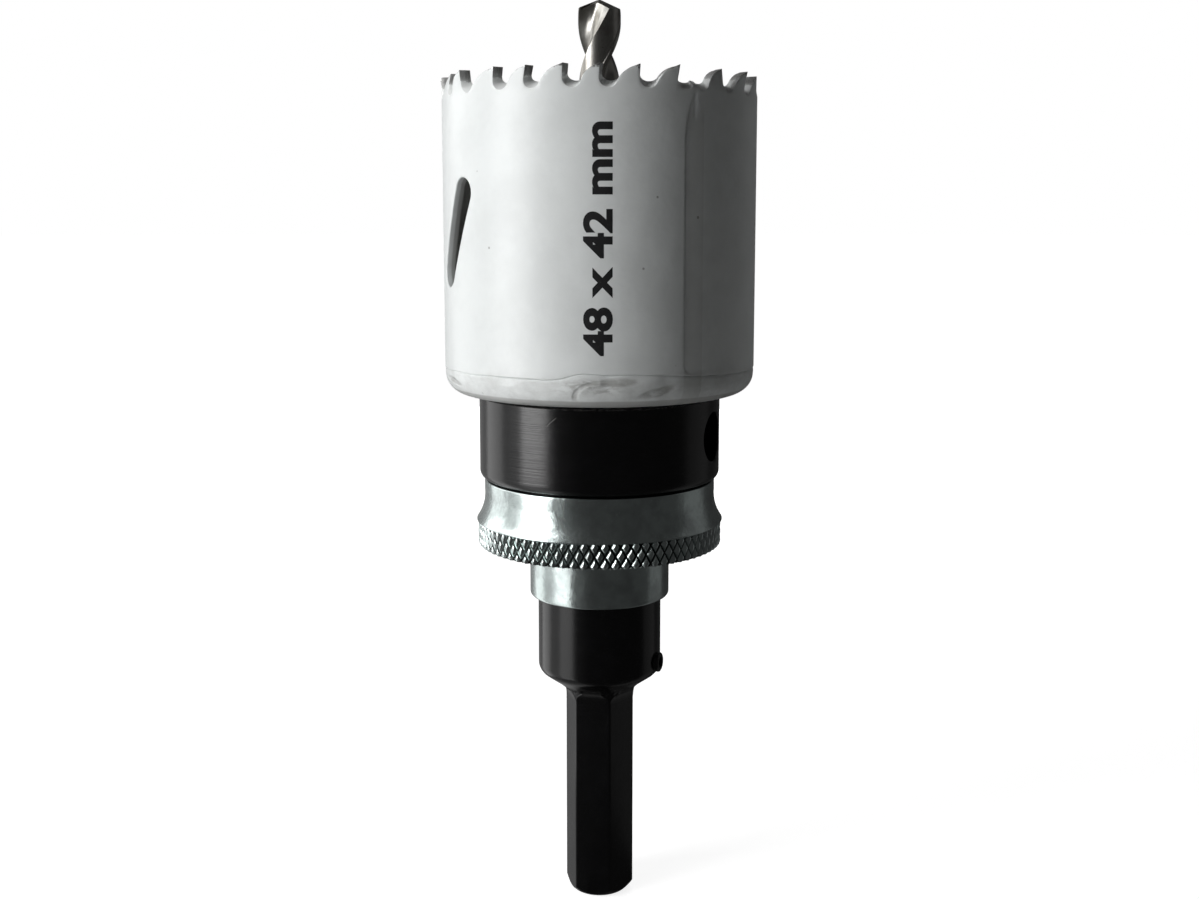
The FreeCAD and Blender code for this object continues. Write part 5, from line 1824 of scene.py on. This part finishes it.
@dataclass
class Studio:
    """Pale floor and background, soft light, dark cards that only reflections see."""

    lens: float = 41.0
    sensor: float = 36.0
    near_clip: float = 0.01
    camera_place: tuple = (0.0, -0.2083, 0.1065)
    pitch: float = 7.24
    shift: float = -0.05
    card_radius: float = 420.0
    card_lift: float = 0.2
    ambient: float = 0.022
    near_glow: float = 0.84
    glow_fade: tuple = (0.15, 0.5)
    floor_colour: float = 0.55
    floor_radius: float = 8.0
    floor_drop: float = 0.0001
    aim_height: float = 0.075
    # Name, azimuth, distance and height in metres, size, power, and whether reflections show it.
    lamps: tuple = (("key", -63.0, 0.35, 0.10, (0.17, 0.5), 1.48, True),
                    ("back_fill", 175.0, 0.5, 0.2, (0.3, 0.4), 1.2, True),
                    ("rim_fill", 138.0, 0.5, 0.12, (0.2, 0.3), 0.3, False),
                    ("front_fill", -52.0, 0.35, 0.10, (0.2, 0.4), 0.4, False))
    # Name, azimuths, strength, lower and upper elevation, as in card().
    cards: tuple = (
        ("dark_front", (-25.0, 88.0), 0.04, -2.0, 89.0),
        ("dusk_front", (-44.0, -25.0), 0.075, -2.0, 89.0),
        ("edge_front", (-49.0, -44.0), 0.3, -2.0, 89.0),
        ("near_floor", (-132.0, -49.0), 0.28, -2.0, -48.0),
        ("key_on_floor", (-77.0, -51.0), 1.6, -48.0, 0.0),
        ("gap_on_floor", (-92.0, -77.0), 0.7, -48.0, 0.0),
        ("grey_left", (-103.0, -92.0), 0.6, -48.0, 31.0),
        ("grey_left_top", (-118.0, -80.0), 2.6, 31.0, 62.0),
        ("pale_left", (-132.0, -103.0), 1.4, -48.0, 16.0),
        ("bright_left", (-132.0, -103.0), 2.2, 16.0, 31.0),
        ("pale_left_top", (-132.0, -118.0), 1.1, 31.0, 60.0),
        ("grey_back", (-174.0, -132.0), 0.3, -2.0, 89.0),
        ("dim_right", (88.0, 122.0), 0.13, -2.0, 89.0),
        ("dark_right", (122.0, 186.0), 0.035, -2.0, 89.0))

    def camera(self) -> None:
        """Create the camera of the photograph."""
        data = bpy.data.cameras.new("camera")
        data.lens = self.lens
        data.sensor_width = self.sensor
        data.shift_y = self.shift
        data.clip_start = self.near_clip
        camera = put("camera", data)
        camera.location = self.camera_place
        camera.rotation_euler = (math.radians(90.0 - self.pitch), 0.0, 0.0)
        bpy.context.scene.camera = camera

    @staticmethod
    def seen(tree: bpy.types.NodeTree) -> bpy.types.NodeSocket:
        """A value of 1 for camera, glossy and transmission rays."""
        first, *others = [add_node(tree, "ShaderNodeLightPath", {}, {}, f"Is {kind} Ray")
                          for kind in ("Camera", "Glossy", "Transmission")]
        for other in others:
            first = add_node(tree, "ShaderNodeMath", {"operation": "MAXIMUM"}, {0: first, 1: other})
        return first

    def world(self) -> None:
        """White where it is seen, dim where it lights."""
        world = bpy.data.worlds.new("studio")
        bpy.context.scene.world = world
        tree = emptied(world)
        level = add_node(tree, "ShaderNodeMapRange", {}, {
            "Value": self.seen(tree), "To Min": self.ambient, "To Max": 1.0})
        back = add_node(tree, "ShaderNodeBackground", {}, {
            "Color": (1.0, 1.0, 1.0, 1.0), "Strength": level})
        add_node(tree, "ShaderNodeOutputWorld", {}, {"Surface": back})

    def floor(self) -> None:
        """A pale floor that keeps the shadow."""
        net = bmesh.new()
        bmesh.ops.create_circle(net, cap_ends=True, segments=96, radius=self.floor_radius)
        data = bpy.data.meshes.new("floor")
        net.to_mesh(data)
        net.free()
        material = bpy.data.materials.new("floor")
        tree = emptied(material)
        # White in the distance; a little lower near the object, where its shadow has to show.
        spot = add_node(tree, "ShaderNodeTexCoord", {}, {}, "Object")
        away = add_node(tree, "ShaderNodeVectorMath", {"operation": "LENGTH"}, {0: spot}, "Value")
        near, far = self.glow_fade
        fade = add_node(tree, "ShaderNodeMapRange", {}, {
            "Value": away, "From Min": near, "From Max": far, "To Min": self.near_glow,
            "To Max": 1.0})
        lit = add_node(tree, "ShaderNodeMath", {"operation": "MULTIPLY"},
                       {0: self.seen(tree), 1: fade})
        glow = add_node(tree, "ShaderNodeEmission", {}, {"Strength": lit})
        matt = add_node(tree, "ShaderNodeBsdfDiffuse", {},
                        {"Color": (*[self.floor_colour] * 3, 1.0)})
        both = add_node(tree, "ShaderNodeAddShader", {}, {0: glow, 1: matt})
        add_node(tree, "ShaderNodeOutputMaterial", {}, {"Surface": both})
        data.materials.append(material)
        floor = put("floor", data)
        floor.location.z = -self.floor_drop

    @staticmethod
    def glow(name: str, strength: float) -> bpy.types.Material:
        """A plain glowing material for a card."""
        material = bpy.data.materials.new(name)
        tree = emptied(material)
        light = add_node(tree, "ShaderNodeEmission", {}, {"Strength": strength})
        add_node(tree, "ShaderNodeOutputMaterial", {}, {"Surface": light})
        return material

    def card(self, name: str, azimuths: tuple[float, float], strength: float, low: float,
             top: float) -> None:
        """A card about the object that only reflections see.

        Args:
            name: The card's name.
            azimuths: Where it starts and ends, in degrees.
            strength: Its radiance.
            low: Its lower elevation in degrees, or minus the distance from the axis at which it
                starts on the floor, in millimetres.
            top: Its upper elevation in degrees. At 0 it only lies on the floor, and below 0 it
                ends there at this distance, with a minus, in millimetres.
        """
        rows = []
        if low < 0:
            reach = self.card_radius if top >= 0 else -top
            rows = [(-low, self.card_lift), (reach, self.card_lift)]
        if top > 0:
            rows += [(self.card_radius * math.cos(turn), self.card_radius * math.sin(turn))
                     for turn in np.radians(np.linspace(max(low, 0.5), top, 10))]
        draft = Draft(name)
        draft.walls([raised(polar(radius, np.linspace(*azimuths, 24)), height)
                     for radius, height in rows], closed=False)
        data = draft.mesh()
        data.materials.append(self.glow(name, strength))
        card = put(name, data)
        card.visible_camera = card.visible_shadow = card.visible_diffuse = False
        card.visible_transmission = False

    def lamp(self, name: str, azimuth: float, distance: float, height: float,
             size: tuple[float, float], power: float, reflected: bool) -> None:
        """An area lamp that faces the axis."""
        data = bpy.data.lights.new(name, "AREA")
        data.shape = "RECTANGLE"
        data.size, data.size_y = size
        data.energy = power
        lamp = put(name, data)
        lamp.location = (*polar(distance, azimuth), height)
        aim = Vector((0.0, 0.0, self.aim_height)) - lamp.location
        lamp.rotation_euler = aim.to_track_quat("-Z", "Y").to_euler()
        lamp.visible_camera = False
        lamp.visible_glossy = reflected

    def build(self) -> None:
        """Set up everything that isn't the object."""
        self.camera()
        self.world()
        self.floor()
        for lamp in self.lamps:
            self.lamp(*lamp)
        for card in self.cards:
            self.card(*card)
        bpy.context.scene.view_settings.view_transform = "Standard"


def dress_kept_nodes(steel: bpy.types.Material, zinc: bpy.types.Material) -> None:
    """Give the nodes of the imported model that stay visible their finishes."""
    finishes = {"drive_pin_rear": steel, "drive_pin_front": steel, "barrel_circlip": steel,
                "sleeve_snap_ring": steel, "spring_seat_washer": zinc}
    for name, material in finishes.items():
        for slot in frame["nodes"][name].material_slots:
            slot.material = material
        LOG.info("%s: kept, with %s", name, material.name)


def main() -> None:
    """Build the pieces in order and report them."""
    logging.basicConfig(level=logging.INFO, format="%(name)s: %(message)s")
    keep = set(frame["nodes"].values()) | set(frame["bodies"].values())
    for item in [item for item in bpy.data.objects if item not in keep]:
        bpy.data.objects.remove(item)
    enamel, cut, ink = Enamel().make(), CutEdge().make(), Ink().make()
    steel, zinc, drill = BARE_STEEL.make(), ZincPlate().make(), DRILL_STEEL.make()
    arbor_black = BlackSteel("black_arbor").make()
    plate_black = BlackSteel("black_plate", mark_depth=0.02, worn_heights=(79.4, 80.05),
                             scratch=(-22.0, 77.5, 0.28, 3.0, 0.11)).make()
    saw = Saw()
    saw.shell(enamel, cut)
    saw.end_plate(enamel)
    saw.size_print(ink)
    PilotDrill().build(drill)
    Arbor().build(arbor_black)
    SetScrew().build(arbor_black)
    DrivePlate().build(plate_black)
    sleeve = Sleeve()
    sleeve.shell(zinc)
    sleeve.knurl(ZincPlate("zinc_knurl", grooves=(18.27, 18.46)).make())
    Spring().build(steel)
    dress_kept_nodes(steel, zinc)
    Studio().build()


if __name__ == "__main__":
    main()
